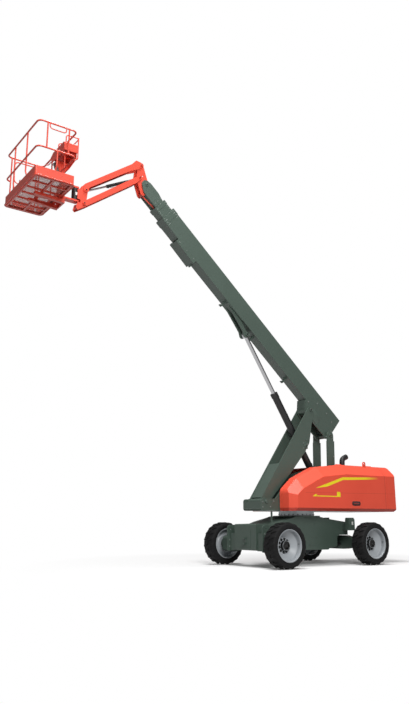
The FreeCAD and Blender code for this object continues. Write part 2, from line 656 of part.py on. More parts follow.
def boom_tail_plates():
    """The doubled plates at the boom's tail that its two shafts pass through."""
    outline = [(300, 3860), (640, 3900), (850, 3770, 60), (1110, 3560, 120), (1205, 3320, 120),
               (1110, 3060, 60), (900, 2905, 60), (830, 3010, 40), (430, 3360, 90), (270, 3535, 40)]
    plate = plate_yz(outline, OUTER["half"] + 0.2, OUTER["half"] + 30)
    below = plate_yz([(330, 3640), (520, 3490), (600, 3440), (620, 3462), (540, 3520), (350, 3672)],
                     -OUTER["half"] - 1, OUTER["half"] + 1)
    front_tie = plate_yz([(292, 3855), (272, 3600), (292, 3600), (312, 3836)],
                         -OUTER["half"] - 1, OUTER["half"] + 1)
    low_hub = cross_pin(*LINK_TOP, 62, -OUTER["half"] - 1, OUTER["half"] + 1)
    whole = fuse(both_sides(plate) + [below, front_tie, low_hub])
    drum_room = cross_pin(*ARM_TOP, PIVOT_DRUM_RADIUS + 5, -OUTER["half"] - 0.2, OUTER["half"] + 0.2)
    boom = on_boom(plate_xz([(-OUTER["half"] - 0.2, OUTER["low"] - 0.2),
                             (OUTER["half"] + 0.2, OUTER["low"] - 0.2),
                             (OUTER["half"] + 0.2, OUTER["high"] + 100),
                             (-OUTER["half"] - 0.2, OUTER["high"] + 100)], -6000, 1200))
    return cut(whole, [boom, drum_room, bore(ARM_TOP, 38, -300, 300), bore(LINK_TOP, 32, -300, 300)])


def lift_bracket():
    """Two ears under the boom, beside the lift rod's eye, with a base plate on the boom."""
    seat_front = boom_point(3330, OUTER["low"] - 6)
    seat_rear = boom_point(2830, OUTER["low"] - 6)
    ear = plate_yz([seat_front, (ROD_EYE[0] - 130, ROD_EYE[1] + 60, 50),
                    (ROD_EYE[0] - 90, ROD_EYE[1] - 90, 70), (ROD_EYE[0] + 75, ROD_EYE[1] - 75, 60),
                    seat_rear], 56, 86)
    boss = cross_pin(*ROD_EYE, 62, 56, 98)
    pads = on_boom(box(-OUTER["half"] + 12, OUTER["half"] - 12, -3360, -2800, OUTER["low"] - 14,
                       OUTER["low"] - 0.2))
    return fuse(both_sides(ear.fuse(boss)) + [pads])


def hose_tray():
    """The shallow tray under the boom that gathers the hoses near its front."""
    low = OUTER["low"]
    half = OUTER["half"]
    tray = plate_yz([(-5225, low - 0.2), (-5225, low - 88, 10), (-4585, low - 108, 10), (-4585, low - 0.2)],
                    -half - 8, half + 8)
    hollow = plate_yz([(-5230, low), (-5230, low - 82), (-4580, low - 102), (-4580, low)],
                      -half - 2, half + 2)
    lug_piece = box(-30, 30, -4590, -4560, low - 150, low - 0.2)
    return on_boom(fuse([tray.cut(hollow), lug_piece]))


def boom_middle_section():
    return on_boom(boom_tube(MIDDLE))


def boom_tip_section():
    """The tip section with the two nose plates that hold the head pin."""
    tube = boom_tube(TIP)
    whole = on_boom(tube)
    nose_low = TIP["low"]
    points = []
    for along, above, radius in ((6080, TIP["high"] - 12, 0), (6270, 518, 60), (6530, 518, 90),
                                 (6690, 470, 90), (6680, 330, 80), (6500, nose_low, 60), (6080, nose_low, 0)):
        y, z = boom_point(along, above)
        points.append((y, z, radius))
    plate = plate_yz(points, TIP["half"] - 6, TIP["half"] + 16)
    stop = on_boom(box(-TIP["half"] - 2, TIP["half"] + 2, -6230, -6082, TIP["low"] - 2, TIP["high"] + 2))
    stop = stop.cut(on_boom(box(-TIP["half"] + 8, TIP["half"] - 8, -6300, -6000,
                                TIP["low"] + 8, TIP["high"] - 8)))
    whole = fuse([whole, stop] + both_sides(plate))
    slot_half = TIP["half"] - TIP["wall"]
    slot = on_boom(box(-slot_half, slot_half, -6300, -5960, TIP["low"] - 10, TIP["low"] + 12))
    return cut(whole, [slot, bore(HEAD_PIN, 30, -300, 300)])


# ---------------------------------------------------------------- jib
def head_pin():
    """The shaft through the boom's nose plates that the jib bracket hangs on."""
    return cross_pin(*HEAD_PIN, 30, -TIP["half"] - 22, TIP["half"] + 22)


BRACKET_OUT = 84.0
BRACKET_PLATE = 16.0


def jib_bracket():
    """Two plates joined by cross tubes, hung on the head pin and held level."""
    inner = BRACKET_OUT - BRACKET_PLATE
    outline = [(JIB_REAR_TOP[0] - 70, JIB_REAR_TOP[1] + 20, 40), (JIB_REAR_TOP[0], JIB_REAR_TOP[1] + 62, 50),
               (JIB_REAR_TOP[0] + 48, JIB_REAR_TOP[1] + 40, 40), (HEAD_PIN[0] + 62, HEAD_PIN[1] + 20, 60),
               (HEAD_PIN[0] + 50, HEAD_PIN[1] - 60, 60), (LEVEL_PIN[0] + 45, LEVEL_PIN[1] - 20, 30),
               (LEVEL_PIN[0] + 5, LEVEL_PIN[1] - 62, 40), (LEVEL_PIN[0] - 55, LEVEL_PIN[1] - 20, 40),
               (JIB_REAR_LOW[0] - 72, JIB_REAR_LOW[1] - 60, 50),
               (JIB_REAR_LOW[0] - 72, JIB_REAR_LOW[1] + 40, 50)]
    plate = plate_yz(outline, inner, BRACKET_OUT)
    ties = [cross_pin(HEAD_PIN[0], HEAD_PIN[1], 52, -inner - 1, inner + 1),
            cross_pin(JIB_REAR_LOW[0] + 35, JIB_REAR_LOW[1] - 150, 22, -inner - 1, inner + 1)]
    pins = [cross_pin(*JIB_REAR_TOP, 28, -BRACKET_OUT - 34, BRACKET_OUT + 34)]
    for shape in both_sides(cross_pin(*JIB_REAR_LOW, 24, BRACKET_OUT - 4, BRACKET_OUT + 34)):
        pins.append(shape)
    for shape in both_sides(cross_pin(*LEVEL_PIN, 16, 54, BRACKET_OUT + 4)):
        pins.append(shape)
    whole = fuse(both_sides(plate) + ties + pins)
    holes = [bore(HEAD_PIN, 30, -300, 300),
             cross_pin(JIB_REAR_LOW[0] + 79, JIB_REAR_LOW[1] + 62, 17, -300, 300)]
    return cut(whole, holes)


def along_level(distance):
    """A point on the levelling rod's line, this far from the bracket's lowest hole."""
    y, z = toward(LEVEL_PIN, boom_point(5880, 262), distance)
    return (0.0, y, z)


def level_cylinder():
    """The levelling cylinder's barrel, held inside the boom tip."""
    foot = on_boom(box(-TIP["half"] + 6.2, TIP["half"] - 6.2, -5560, -5520, 250, 330))
    barrel = fuse([rod(along_level(420), along_level(1040), 32), foot])
    return barrel.cut(rod(along_level(410), along_level(990), 17 + RUNNING_FIT))


def level_rod():
    """The levelling rod with its eye, which reaches the bracket's lowest hole."""
    whole = fuse([rod(along_level(20), along_level(760), 17), cross_pin(*LEVEL_PIN, 34, -40, 40)])
    return whole.cut(cross_pin(*LEVEL_PIN, 17.5, -60, 60))


def jib_end(place):
    return (place[0] + JIB_VECTOR[0], place[1] + JIB_VECTOR[1])


JIB_FRONT_TOP = jib_end(JIB_REAR_TOP)
JIB_FRONT_LOW = jib_end(JIB_REAR_LOW)
JIB_PLATE_IN = BRACKET_OUT + 6.0
JIB_PLATE_OUT = BRACKET_OUT + 22.0


def jib_point(along, above):
    """The (y, z) place of a point given along the jib's upper pin line and above it."""
    length = math.hypot(*JIB_VECTOR)
    along_y = JIB_VECTOR[0] / length
    along_z = JIB_VECTOR[1] / length
    return (JIB_REAR_TOP[0] + along * along_y + above * along_z,
            JIB_REAR_TOP[1] + along * along_z - above * along_y)


def jib_outline(corners, drop):
    """Corners given along and above the upper pin line, or the lower one when drop is true."""
    points = []
    for corner in corners:
        y, z = jib_point(corner[0], corner[1])
        if drop:
            y += JIB_REAR_LOW[0] - JIB_REAR_TOP[0]
            z += JIB_REAR_LOW[1] - JIB_REAR_TOP[1]
        points.append((y, z) + tuple(corner[2:]))
    return points


def jib_arm():
    """The jib's upper arm: two side plates under a top plate, so the cylinder can swing up into it."""
    side = plate_yz(jib_outline([(-58, -20, 40), (-45, 28, 20), (62, 140, 30), (223, 106, 60),
                                 (1600, 124, 40), (1695, 20, 40), (1680, -52, 40), (1590, -52, 40),
                                 (1548, 16, 30), (340, -15, 60), (170, -48, 60), (-30, -50, 40)], False),
                    JIB_PLATE_IN, JIB_PLATE_OUT)
    top = plate_yz(jib_outline([(230, 102), (1500, 118), (1500, 110), (230, 94)], False),
                   -JIB_PLATE_IN - 1, JIB_PLATE_IN + 1)
    whole = fuse(both_sides(side) + [top])
    return cut(whole, [bore(JIB_REAR_TOP, 28, -300, 300), bore(JIB_FRONT_TOP, 28, -300, 300)])


def jib_link_rod():
    """The jib's lower links: two deep bars joined by a cross tube."""
    bar = plate_yz(jib_outline([(-46, -46, 40), (-46, 36, 36), (60, 44, 40), (1660, 42, 40),
                                (1685, -40, 40), (1600, -70, 40), (160, -76, 60), (20, -56, 40)], True),
                   JIB_PLATE_IN, JIB_PLATE_OUT)
    tie = jib_outline([(294, -52)], True)[0]
    whole = fuse(both_sides(bar) + [cross_pin(*tie, 20, -JIB_PLATE_IN - 1, JIB_PLATE_IN + 1)])
    return cut(whole, [bore(JIB_REAR_LOW, 24, -300, 300), bore(JIB_FRONT_LOW, 24, -300, 300)])


def platform_yoke():
    """The bracket at the jib's front that carries the rotator between its plates."""
    inner = BRACKET_OUT - BRACKET_PLATE
    notch_y = -5829.0
    plate = plate_yz([(-5668, 7712, 40), (-5757, 7812, 30), (notch_y, 7742, 12), (notch_y, 7680),
                      (-5900, 7672, 12), (-5900, 7455, 12), (notch_y, 7447), (notch_y, 7385),
                      (-5893, 7375, 10), (-5925, 7250, 14), (-5885, 7208, 14), (-5700, 7330, 40),
                      (-5697, 7425, 40)], inner, BRACKET_OUT)
    back = box(-inner - 1, inner + 1, -5848, -5826, ROTATOR_LOW_Z + 10, ROTATOR_HIGH_Z - 15)
    foot = box(-inner - 1, inner + 1, -5900, -5886, 7245, 7340)
    pins = [cross_pin(*JIB_FRONT_LOW, 24, -BRACKET_OUT - 34, BRACKET_OUT + 34)]
    pins += both_sides(cross_pin(*JIB_FRONT_TOP, 28, BRACKET_OUT - 10, BRACKET_OUT + 34))
    return fuse(both_sides(plate) + [back, foot] + pins)


JIB_BARREL_RADIUS = 34.0
JIB_ROD_RADIUS = 20.0
JIB_BARREL_LENGTH = 860.0


def along_jib_cylinder(distance):
    y, z = toward(JIB_REAR_LOW, JIB_FRONT_TOP, distance)
    return (0.0, y, z)


def jib_barrel():
    barrel = rod(along_jib_cylinder(40), along_jib_cylinder(JIB_BARREL_LENGTH), JIB_BARREL_RADIUS)
    eye = cross_pin(*JIB_REAR_LOW, 44, -26, 26)
    pin = cross_pin(*JIB_REAR_LOW, 18, -60, 60)
    whole = fuse([barrel, eye, pin])
    hollow = rod(along_jib_cylinder(110), along_jib_cylinder(JIB_BARREL_LENGTH + 20),
                 JIB_ROD_RADIUS + RUNNING_FIT)
    return whole.cut(hollow)


def jib_rod():
    reach = length_between(JIB_REAR_LOW, JIB_FRONT_TOP)
    shaft = rod(along_jib_cylinder(310), along_jib_cylinder(reach - 30), JIB_ROD_RADIUS)
    eye = cross_pin(*JIB_FRONT_TOP, 42, -24, 24)
    whole = fuse([shaft, eye])
    return whole.cut(cross_pin(*JIB_FRONT_TOP, 20, -60, 60))


# ---------------------------------------------------------------- platform
def rotator_body():
    """The upright rotary actuator between the yoke and the platform bracket."""
    body = rod((0, ROTATOR_Y, ROTATOR_LOW_Z), (0, ROTATOR_Y, ROTATOR_HIGH_Z), 70)
    flange = box(-62, 62, ROTATOR_Y + 40, -5848.2, ROTATOR_LOW_Z + 30, ROTATOR_HIGH_Z - 30)
    whole = fuse([body, flange])
    return whole.cut(rod((0, ROTATOR_Y, ROTATOR_LOW_Z - 5), (0, ROTATOR_Y, ROTATOR_HIGH_Z + 5),
                         24 + RUNNING_FIT))


def platform_support():
    """The turning bracket: a shaft in the rotator, two arms and two bearers under the floor."""
    shaft = rod((0, ROTATOR_Y, ROTATOR_LOW_Z - 46), (0, ROTATOR_Y, ROTATOR_HIGH_Z + 46), 24)
    rear = BASKET_Y + BASKET_HALF_Y
    top = box(-70, 70, rear + 60, ROTATOR_Y + 60, ROTATOR_HIGH_Z + 8, ROTATOR_HIGH_Z + 46)
    low = box(-70, 70, rear + 60, ROTATOR_Y + 60, ROTATOR_LOW_Z - 46, ROTATOR_LOW_Z - 8)
    wall = box(-190, 190, rear + 40, rear + 70, BASKET_FLOOR_Z - 130, ROTATOR_HIGH_Z + 46)
    bearers = []
    for x in (-170.0, 170.0):
        bearer = plate_yz([(rear + 69, BASKET_FLOOR_Z - 130), (rear + 69, BASKET_FLOOR_Z - 41),
                           (BASKET_Y - 150, BASKET_FLOOR_Z - 41), (BASKET_Y - 150, BASKET_FLOOR_Z - 95)],
                          x - 40, x + 40)
        bearers.append(bearer)
    return fuse([shaft, top, low, wall] + bearers)


def platform_floor_frame():
    """The floor's edge frame and bearers, with the bumper rail round it."""
    low = BASKET_FLOOR_Z - 40
    high = BASKET_FLOOR_Z - 4
    rim_width = 36.0
    y0 = BASKET_Y - FLOOR_HALF_Y
    y1 = BASKET_Y + FLOOR_HALF_Y
    edge = box(-FLOOR_HALF_X, FLOOR_HALF_X, y0, y1, low, high)
    inner = box(-FLOOR_HALF_X + rim_width, FLOOR_HALF_X - rim_width, y0 + rim_width, y1 - rim_width,
                low - 10, high + 10)
    bars = []
    for x in (-545, -273, 0, 273, 545):
        bars.append(box(x - 15, x + 15, y0 + 30, y1 - 30, low, high))
    bars.append(box(-FLOOR_HALF_X + 30, FLOOR_HALF_X - 30, BASKET_Y - 22, BASKET_Y + 22, low, high))
    rail_z = BASKET_FLOOR_Z - 26
    out = 26.0
    x = FLOOR_HALF_X + out
    bumper = tube_path([(x, y0 - out, rail_z), (x, y1 + out, rail_z), (-x, y1 + out, rail_z),
                        (-x, y0 - out, rail_z), (x, y0 - out, rail_z)], 14, 80)
    stays = []
    for stay_x in (-600, 600):
        stays.append(rod((stay_x, y0 - out, rail_z), (stay_x, y0 + 10, rail_z), 9))
        stays.append(rod((stay_x, y1 - 10, rail_z), (stay_x, y1 + out, rail_z), 9))
    for sign in (1, -1):
        stays.append(rod((sign * (x - 50), BASKET_Y, rail_z), (sign * x, BASKET_Y, rail_z), 9))
    return fuse([edge.cut(inner)] + bars + [bumper] + stays)


def platform_floor():
    """The floor sheet of expanded metal, as a plain sheet."""
    edge = 33.0
    return box(-FLOOR_HALF_X + edge, FLOOR_HALF_X - edge, BASKET_Y - FLOOR_HALF_Y + edge,
               BASKET_Y + FLOOR_HALF_Y - edge, BASKET_FLOOR_Z - 3.8, BASKET_FLOOR_Z)


GATE_HALF = 300.0


def rail_loop(z, gap):
    """A rail round the basket at height z, open over the gate when gap is true."""
    x = BASKET_HALF_X - RAIL_RADIUS
    y0 = BASKET_Y - BASKET_HALF_Y + RAIL_RADIUS
    y1 = BASKET_Y + BASKET_HALF_Y - RAIL_RADIUS
    corners = [(x, y0, z), (x, y1, z), (-x, y1, z)]
    if not gap:
        return tube_path(corners + [(-x, y0, z), (x, y0, z)], RAIL_RADIUS, 95)
    start = [(-x, BASKET_Y - GATE_HALF, z), (-x, y0, z)]
    return tube_path(start + corners + [(-x, BASKET_Y + GATE_HALF, z)], RAIL_RADIUS, 95)


def guard_rails():
    """Top rail, mid rail, posts and the hand loop over the left end."""
    x = BASKET_HALF_X - RAIL_RADIUS
    y0 = BASKET_Y - BASKET_HALF_Y + RAIL_RADIUS
    y1 = BASKET_Y + BASKET_HALF_Y - RAIL_RADIUS
    pieces = [rail_loop(TOP_RAIL_Z, False), rail_loop(MID_RAIL_Z, True)]
    foot = BASKET_FLOOR_Z - 3.8
    foot_x = FLOOR_HALF_X - 14
    foot_y0 = BASKET_Y - FLOOR_HALF_Y + 12
    foot_y1 = BASKET_Y + FLOOR_HALF_Y - 12
    for py in (BASKET_Y - 212, BASKET_Y + 233):
        pieces.append(rod((x, py, MID_RAIL_Z), (x, py, TOP_RAIL_Z), 15))
    pieces.append(tube_path([(foot_x, BASKET_Y + 10, foot), (foot_x, BASKET_Y + 10, foot + 190),
                             (x, BASKET_Y + 10, foot + 262), (x, BASKET_Y + 10, MID_RAIL_Z)], 15, 60))
    for py in (BASKET_Y - GATE_HALF, BASKET_Y + GATE_HALF):
        pieces.append(tube_path([(-foot_x, py, foot), (-foot_x, py, foot + 190),
                                 (-x, py, foot + 262), (-x, py, TOP_RAIL_Z)], 15, 60))
    for px in (299, -375):
        pieces.append(tube_path([(px, foot_y0, foot), (px, foot_y0, foot + 190),
                                 (px, y0, foot + 262), (px, y0, TOP_RAIL_Z)], 15, 60))
        pieces.append(tube_path([(px, foot_y1, foot), (px, foot_y1, foot + 190),
                                 (px, y1, foot + 262), (px, y1, TOP_RAIL_Z)], 15, 60))
    hoop_z = TOP_RAIL_Z - 115
    hoop = tube_path([(x, BASKET_Y - 169, TOP_RAIL_Z), (x, BASKET_Y - 169, hoop_z),
                      (x, BASKET_Y + 173, hoop_z), (x, BASKET_Y + 173, TOP_RAIL_Z)], 11, 60)
    return fuse(pieces + [hoop])


def toe_board_prism(inset, radius, z0, z1):
    x = FLOOR_HALF_X + 14 - inset
    y0 = BASKET_Y - FLOOR_HALF_Y - 14 + inset
    y1 = BASKET_Y + FLOOR_HALF_Y + 14 - inset
    return plate_xy([(-x, y0, radius), (x, y0, radius), (x, y1, radius), (-x, y1, radius)], z0, z1)


def toe_boards():
    """The kick plates outside the floor's edge, with a gap at the gate."""
    z0 = BASKET_FLOOR_Z - 10
    z1 = BASKET_FLOOR_Z + 165
    thick = 5.0
    outer = toe_board_prism(0.0, 30, z0, z1)
    inner = toe_board_prism(thick, 30 - thick, z0 - 1, z1 + 1)
    gate_gap = box(-FLOOR_HALF_X - 30, -FLOOR_HALF_X + 60, BASKET_Y - GATE_HALF + 20,
                   BASKET_Y + GATE_HALF - 20, z0 - 1, z1 + 1)
    anchor = plate_xz([(-40, z1 - 30), (40, z1 - 30), (40, z1 + 40, 35), (-40, z1 + 40, 35)],
                      BASKET_Y - FLOOR_HALF_Y - 14, BASKET_Y - FLOOR_HALF_Y - 6)
    eye = Part.makeCylinder(ANCHOR_RADIUS, 40, V(0, BASKET_Y - FLOOR_HALF_Y - 30, z1 + 8), V(0, 1, 0))
    return fuse([cut(outer, [inner, gate_gap]), anchor]).cut(eye)


def entry_gate():
    """The gate at the right end: a bent tube frame with an arch and a kick plate, hinged on one post."""
    x = -BASKET_HALF_X + RAIL_RADIUS
    y0 = BASKET_Y - GATE_HALF + 66
    y1 = BASKET_Y + GATE_HALF - 50
    low = BASKET_FLOOR_Z + 45
    high = TOP_RAIL_Z - 60
    frame = tube_path([(x, y0, low), (x, y0, high), (x, y1, high), (x, y1, low), (x, y0, low)], 13, 90)
    arch = tube_path([(x, y0, MID_RAIL_Z + 200), (x, y0 + 14, MID_RAIL_Z), (x, y1 - 14, MID_RAIL_Z),
                      (x, y1, MID_RAIL_Z + 200)], 12, 80)
    kick = box(x - 3, x + 3, y0 + 2, y1 - 2, low + 2, low + 130)
    return fuse([frame, arch, kick])


def control_console():
    """The console's cover, guard hoop and sloping lower shield, hung on the rear rails."""
    y0 = -6400.0
    y1 = -6110.0
    wall = 6.0
    cover = plate_xz([(-250, 8330), (-250, 8370, 20), (-120, 8436, 30), (450, 8436, 25), (450, 8250, 20),
                      (380, 8215), (-120, 8215)], y0, y1)
    hollow = plate_xz([(-244, 8200), (-244, 8364, 14), (-118, 8430, 24), (444, 8430, 19), (444, 8200)],
                      y0 + wall, y1 - wall)
    slot = box(278, 320, -6332, -6290, 8150, 8500)
    cover = cut(cover, [hollow, slot])
    guard = tube_path([(440, -6360, 8400), (440, -6360, 8590), (440, -6075, 8590), (60, -6075, 8590),
                       (60, -6360, 8590), (60, -6360, 8400)], 12, 60)
    leg = tube_path([(455, -6098, 8590), (455, -6098, 8120), (455, -6180, 8060)], 12, 60)
    far_loop = tube_path([(-247, -6396, 8345), (-520, -6396, 8345), (-520, -6338, 8345),
                          (-247, -6338, 8345)], 10, 28)
    arms = [box(x - 12, x + 12, -6358, -6120, 8216, 8222) for x in (-100, 200, 400)]
    shield = plate_yz([(-6120, 8110), (-6120, 8116), (-6262, 7860), (-6262, 7852)], 20, 450)
    lip = plate_yz([(-6120, 8110), (-6120, 8216), (-6126, 8216), (-6126, 8110)], 20, 450)
    side = plate_yz([(-6120, 8090), (-6120, 8216), (-6380, 8216), (-6262, 7852)], 14, 20)
    clamps = [box(x - 15, x + 15, -6342, -6280, 8430, 8438.8) for x in (-60, 130, 400)]
    return fuse([cover, guard, leg, far_loop, shield, lip, side] + arms + clamps)


def console_box():
    """The control box itself, under the cover."""
    return plate_yz([(-6140, 8215.8), (-6370, 8215.8), (-6340, 8110), (-6255, 7960), (-6140, 8090)],
                    -170, 13.8)


# ---------------------------------------------------------------- write the nodes
def save(name, shape):
    solids = shape if isinstance(shape, list) else [shape]
    whole = Part.Compound(solids) if len(solids) > 1 else solids[0]
    whole.exportStep("parts/%s.step" % name)
    volume = sum(s.Volume for s in solids) / 1e9
    print("%-26s solids %d valid %s volume %.4f m3" % (name, len(whole.Solids), whole.isValid(), volume))


def main():
    wheels()
    save("chassis_frame", chassis_frame())
    save("front_axle", front_axle())
    save("rear_axle", rear_axle())
    save("steering_cylinder", steering_cylinder())
    save("steering_knuckle_left", steering_knuckle(1))
    save("steering_knuckle_right", steering_knuckle(-1))
    save("slew_ring", slew_ring())
    save("turntable_lock", turntable_lock())
    save("turntable_frame", turntable_frame())
    save("counterweight", counterweight())
    save("engine_block", engine_block())
    left_hood = hood_lid()
    save("hood_left", left_hood)
    save("hood_right", mirrored(left_hood))
    save("hood_inner_strips", both_sides(hood_strip()))
    save("exhaust_pipe", exhaust_pipe())
    save("lower_arm", lower_arm())
    save("boom_pivot_pin", boom_pivot_pin())
    save("rear_link_pin", rear_link_pin())
    save("rear_links", rear_links())
    save("trunnion_pins", trunnion_pins())
    save("lift_barrel", lift_barrel())
    save("lift_rod", lift_rod())
    save("lift_rod_head", lift_rod_head())
    save("boom_outer_section", boom_outer_section())
    save("boom_tail_plates", boom_tail_plates())
    save("lift_bracket", lift_bracket())
    save("hose_tray", hose_tray())
    save("boom_middle_section", boom_middle_section())
    save("boom_tip_section", boom_tip_section())
    save("head_pin", head_pin())
    save("jib_bracket", jib_bracket())
    save("level_cylinder", level_cylinder())
    save("level_rod", level_rod())
    save("jib_arm", jib_arm())
    save("jib_link_rod", jib_link_rod())
    save("platform_yoke", platform_yoke())
    save("jib_barrel", jib_barrel())
    save("jib_rod", jib_rod())
    save("rotator_body", rotator_body())
    save("platform_support", platform_support())
    save("platform_floor_frame", platform_floor_frame())
    save("platform_floor", platform_floor())
    save("guard_rails", guard_rails())
    save("toe_boards", toe_boards())
    save("entry_gate", entry_gate())
    save("control_console", control_console())
    save("console_box", console_box())


main()
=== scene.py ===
import json
import math
import random

import bmesh
import bpy
from mathutils import Euler, Matrix, Vector


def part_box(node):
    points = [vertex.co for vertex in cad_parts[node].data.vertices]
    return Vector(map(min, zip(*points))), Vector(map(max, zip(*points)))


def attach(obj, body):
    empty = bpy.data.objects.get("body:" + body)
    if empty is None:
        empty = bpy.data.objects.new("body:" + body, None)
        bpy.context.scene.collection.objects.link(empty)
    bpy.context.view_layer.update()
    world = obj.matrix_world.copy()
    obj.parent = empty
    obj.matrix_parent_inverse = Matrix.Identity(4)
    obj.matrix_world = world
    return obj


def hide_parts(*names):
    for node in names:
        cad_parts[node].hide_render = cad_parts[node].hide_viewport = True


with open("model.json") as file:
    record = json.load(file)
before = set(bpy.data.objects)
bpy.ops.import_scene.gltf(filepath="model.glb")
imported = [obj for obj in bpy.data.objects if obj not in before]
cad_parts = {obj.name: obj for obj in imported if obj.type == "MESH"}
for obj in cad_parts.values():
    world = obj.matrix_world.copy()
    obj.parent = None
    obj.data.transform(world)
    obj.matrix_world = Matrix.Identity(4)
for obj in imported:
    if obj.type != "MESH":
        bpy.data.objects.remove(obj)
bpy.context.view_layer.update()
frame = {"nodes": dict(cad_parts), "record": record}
random.seed(7)


# ---------------------------------------------------------------- shader maths
class Sock:
    """A node socket, so that shader maths reads as arithmetic."""

    def __init__(self, tree, socket):
        self.tree = tree
        self.socket = socket

    def _math(self, operation, first, second=None, third=None):
        values = [first] + [v for v in (second, third) if v is not None]
        return self.tree.node("ShaderNodeMath", {"operation": operation}, values)

    def __add__(self, other):
        return self._math("ADD", self, other)

    def __radd__(self, other):
        return self._math("ADD", other, self)

    def __sub__(self, other):
        return self._math("SUBTRACT", self, other)

    def __rsub__(self, other):
        return self._math("SUBTRACT", other, self)

    def __mul__(self, other):
        return self._math("MULTIPLY", self, other)

    def __rmul__(self, other):
        return self._math("MULTIPLY", other, self)

    def __truediv__(self, other):
        return self._math("DIVIDE", self, other)

    def __gt__(self, other):
        return self._math("GREATER_THAN", self, other)

    def __lt__(self, other):
        return self._math("LESS_THAN", self, other)

    def abs(self):
        return self._math("ABSOLUTE", self)

    def clamp(self):
        return self.tree.node("ShaderNodeClamp", {}, [self, 0.0, 1.0])

    def minimum(self, other):
        return self._math("MINIMUM", self, other)

    def maximum(self, other):
        return self._math("MAXIMUM", self, other)

    def fract(self):
        return self._math("FRACT", self)


class Finish:
    """A material under construction: one Principled surface and the nodes that feed it."""

    def __init__(self, name, colour, roughness, metallic=0.0, **sockets):
        self.material = bpy.data.materials.new(name)
        self.material.use_nodes = True
        self.nodes = self.material.node_tree.nodes
        self.links = self.material.node_tree.links
        self.surface = self.nodes["Principled BSDF"]
        self.feed("Base Color", colour)
        self.feed("Roughness", roughness)
        self.feed("Metallic", metallic)
        for socket, value in sockets.items():
            self.feed(socket.replace("_", " "), value)
        place = self.nodes.new("ShaderNodeTexCoord")
        self.place = Sock(self, place.outputs["Object"])
        apart = self.nodes.new("ShaderNodeSeparateXYZ")
        self.links.new(place.outputs["Object"], apart.inputs[0])
        self.x = Sock(self, apart.outputs[0])
        self.y = Sock(self, apart.outputs[1])
        self.z = Sock(self, apart.outputs[2])

    def _put(self, socket, value):
        if isinstance(value, Sock):
            self.links.new(value.socket, socket)
        elif value is not None:
            if isinstance(value, tuple) and len(value) == 3 and len(socket.default_value) == 4:
                value = value + (1.0,)
            socket.default_value = value

    def feed(self, socket, value):
        self._put(self.surface.inputs[socket], value)

    def node(self, kind, settings, values, output=0):
        """Any node: its settings, then the values or links of its inputs, as a list or a dict."""
        made = self.nodes.new(kind)
        for setting, value in settings.items():
            if setting == "stops":
                ramp = made.color_ramp
                while len(ramp.elements) < len(value):
                    ramp.elements.new(0.5)
                for element, (place, colour) in zip(ramp.elements, value):
                    element.position = place
                    element.color = colour + (1.0,)
            else:
                setattr(made, setting, value)
        pairs = values.items() if isinstance(values, dict) else enumerate(values)
        for key, value in pairs:
            self._put(made.inputs[key], value)
        return Sock(self, made.outputs[output])

    def noise(self, scale, detail=3.0, roughness=0.55, place=None):
        return self.node("ShaderNodeTexNoise", {}, {"Vector": place or self.place, "Scale": scale,
                                                    "Detail": detail, "Roughness": roughness})

    def stretch(self, scale):
        """The object's coordinates, scaled unevenly."""
        return self.node("ShaderNodeVectorMath", {"operation": "MULTIPLY"}, [self.place, scale])

    def ramp(self, value, low, high):
        """0 below low, 1 above high, and straight between."""
        return self.node("ShaderNodeMapRange", {"clamp": True}, {"Value": value, "From Min": low,
                                                                 "From Max": high})

    def mix(self, factor, first, second):
        made = self.nodes.new("ShaderNodeMix")
        made.data_type = "RGBA"
        self._put(made.inputs[0], factor)
        self._put(made.inputs[6], first)
        self._put(made.inputs[7], second)
        return Sock(self, made.outputs[2])

    def bump(self, height, strength, distance, under=None):
        values = {"Strength": strength, "Distance": distance, "Height": height}
        if under is not None:
            values["Normal"] = under
        return self.node("ShaderNodeBump", {}, values)


def linear(red, green, blue):
    """A colour given as 0 to 255 screen values, as the light values that shaders use."""
    light = []
    for value in (red, green, blue):
        share = value / 255
        light.append(share / 12.92 if share <= 0.04045 else ((share + 0.055) / 1.055) ** 2.4)
    return tuple(light)


def painted(name, colour, worn, roughness=0.42, orange_peel=0.15, coat=0.15):
    """Sprayed enamel: slight mottling and orange peel in the gloss."""
    finish = Finish(name, colour, roughness, Coat_Roughness=0.2)
    mottle = finish.noise(2.6, 4.0)
    fine = finish.noise(38.0, 2.0)
    finish.feed("Base Color", finish.mix(finish.ramp(mottle, 0.35, 0.75) * 0.6, colour, worn))
    finish.feed("Roughness", roughness - 0.06 + mottle * 0.1 + fine * 0.05)
    finish.feed("Coat Weight", coat + mottle * 0.05)
    finish.feed("Normal", finish.bump(finish.noise(260.0, 2.0), orange_peel, 0.0006))
    return finish.material


GREEN = linear(77, 92, 83)
GREEN_WORN = linear(70, 85, 76)
ORANGE = linear(232, 80, 58)
ORANGE_WORN = linear(222, 74, 54)

green_paint = painted("green enamel", GREEN, GREEN_WORN)
dark_green_paint = painted("chassis green enamel", linear(70, 86, 77), linear(62, 78, 69), 0.5)
orange_paint = painted("orange enamel", ORANGE, ORANGE_WORN, 0.38)
black_metal = painted("black enamel", linear(15, 15, 16), linear(22, 22, 23), 0.5, 0.1, 0.0)
rim_paint = painted("wheel grey enamel", linear(176, 181, 185), linear(165, 170, 175), 0.4)
engine_iron = painted("engine iron", linear(62, 63, 66), linear(50, 50, 52), 0.6)
mesh_paint = painted("floor mesh enamel", linear(150, 84, 74), linear(138, 76, 66), 0.5)
grey_plastic = painted("console grey", linear(178, 178, 172), linear(164, 164, 158), 0.5)
zinc = painted("dull zinc", linear(120, 126, 122), linear(100, 106, 102), 0.42)
pale_metal = painted("pale screw heads", linear(190, 196, 192), linear(170, 176, 172), 0.4)
white_label = painted("blank white plate", linear(225, 226, 222), linear(214, 215, 210), 0.5)
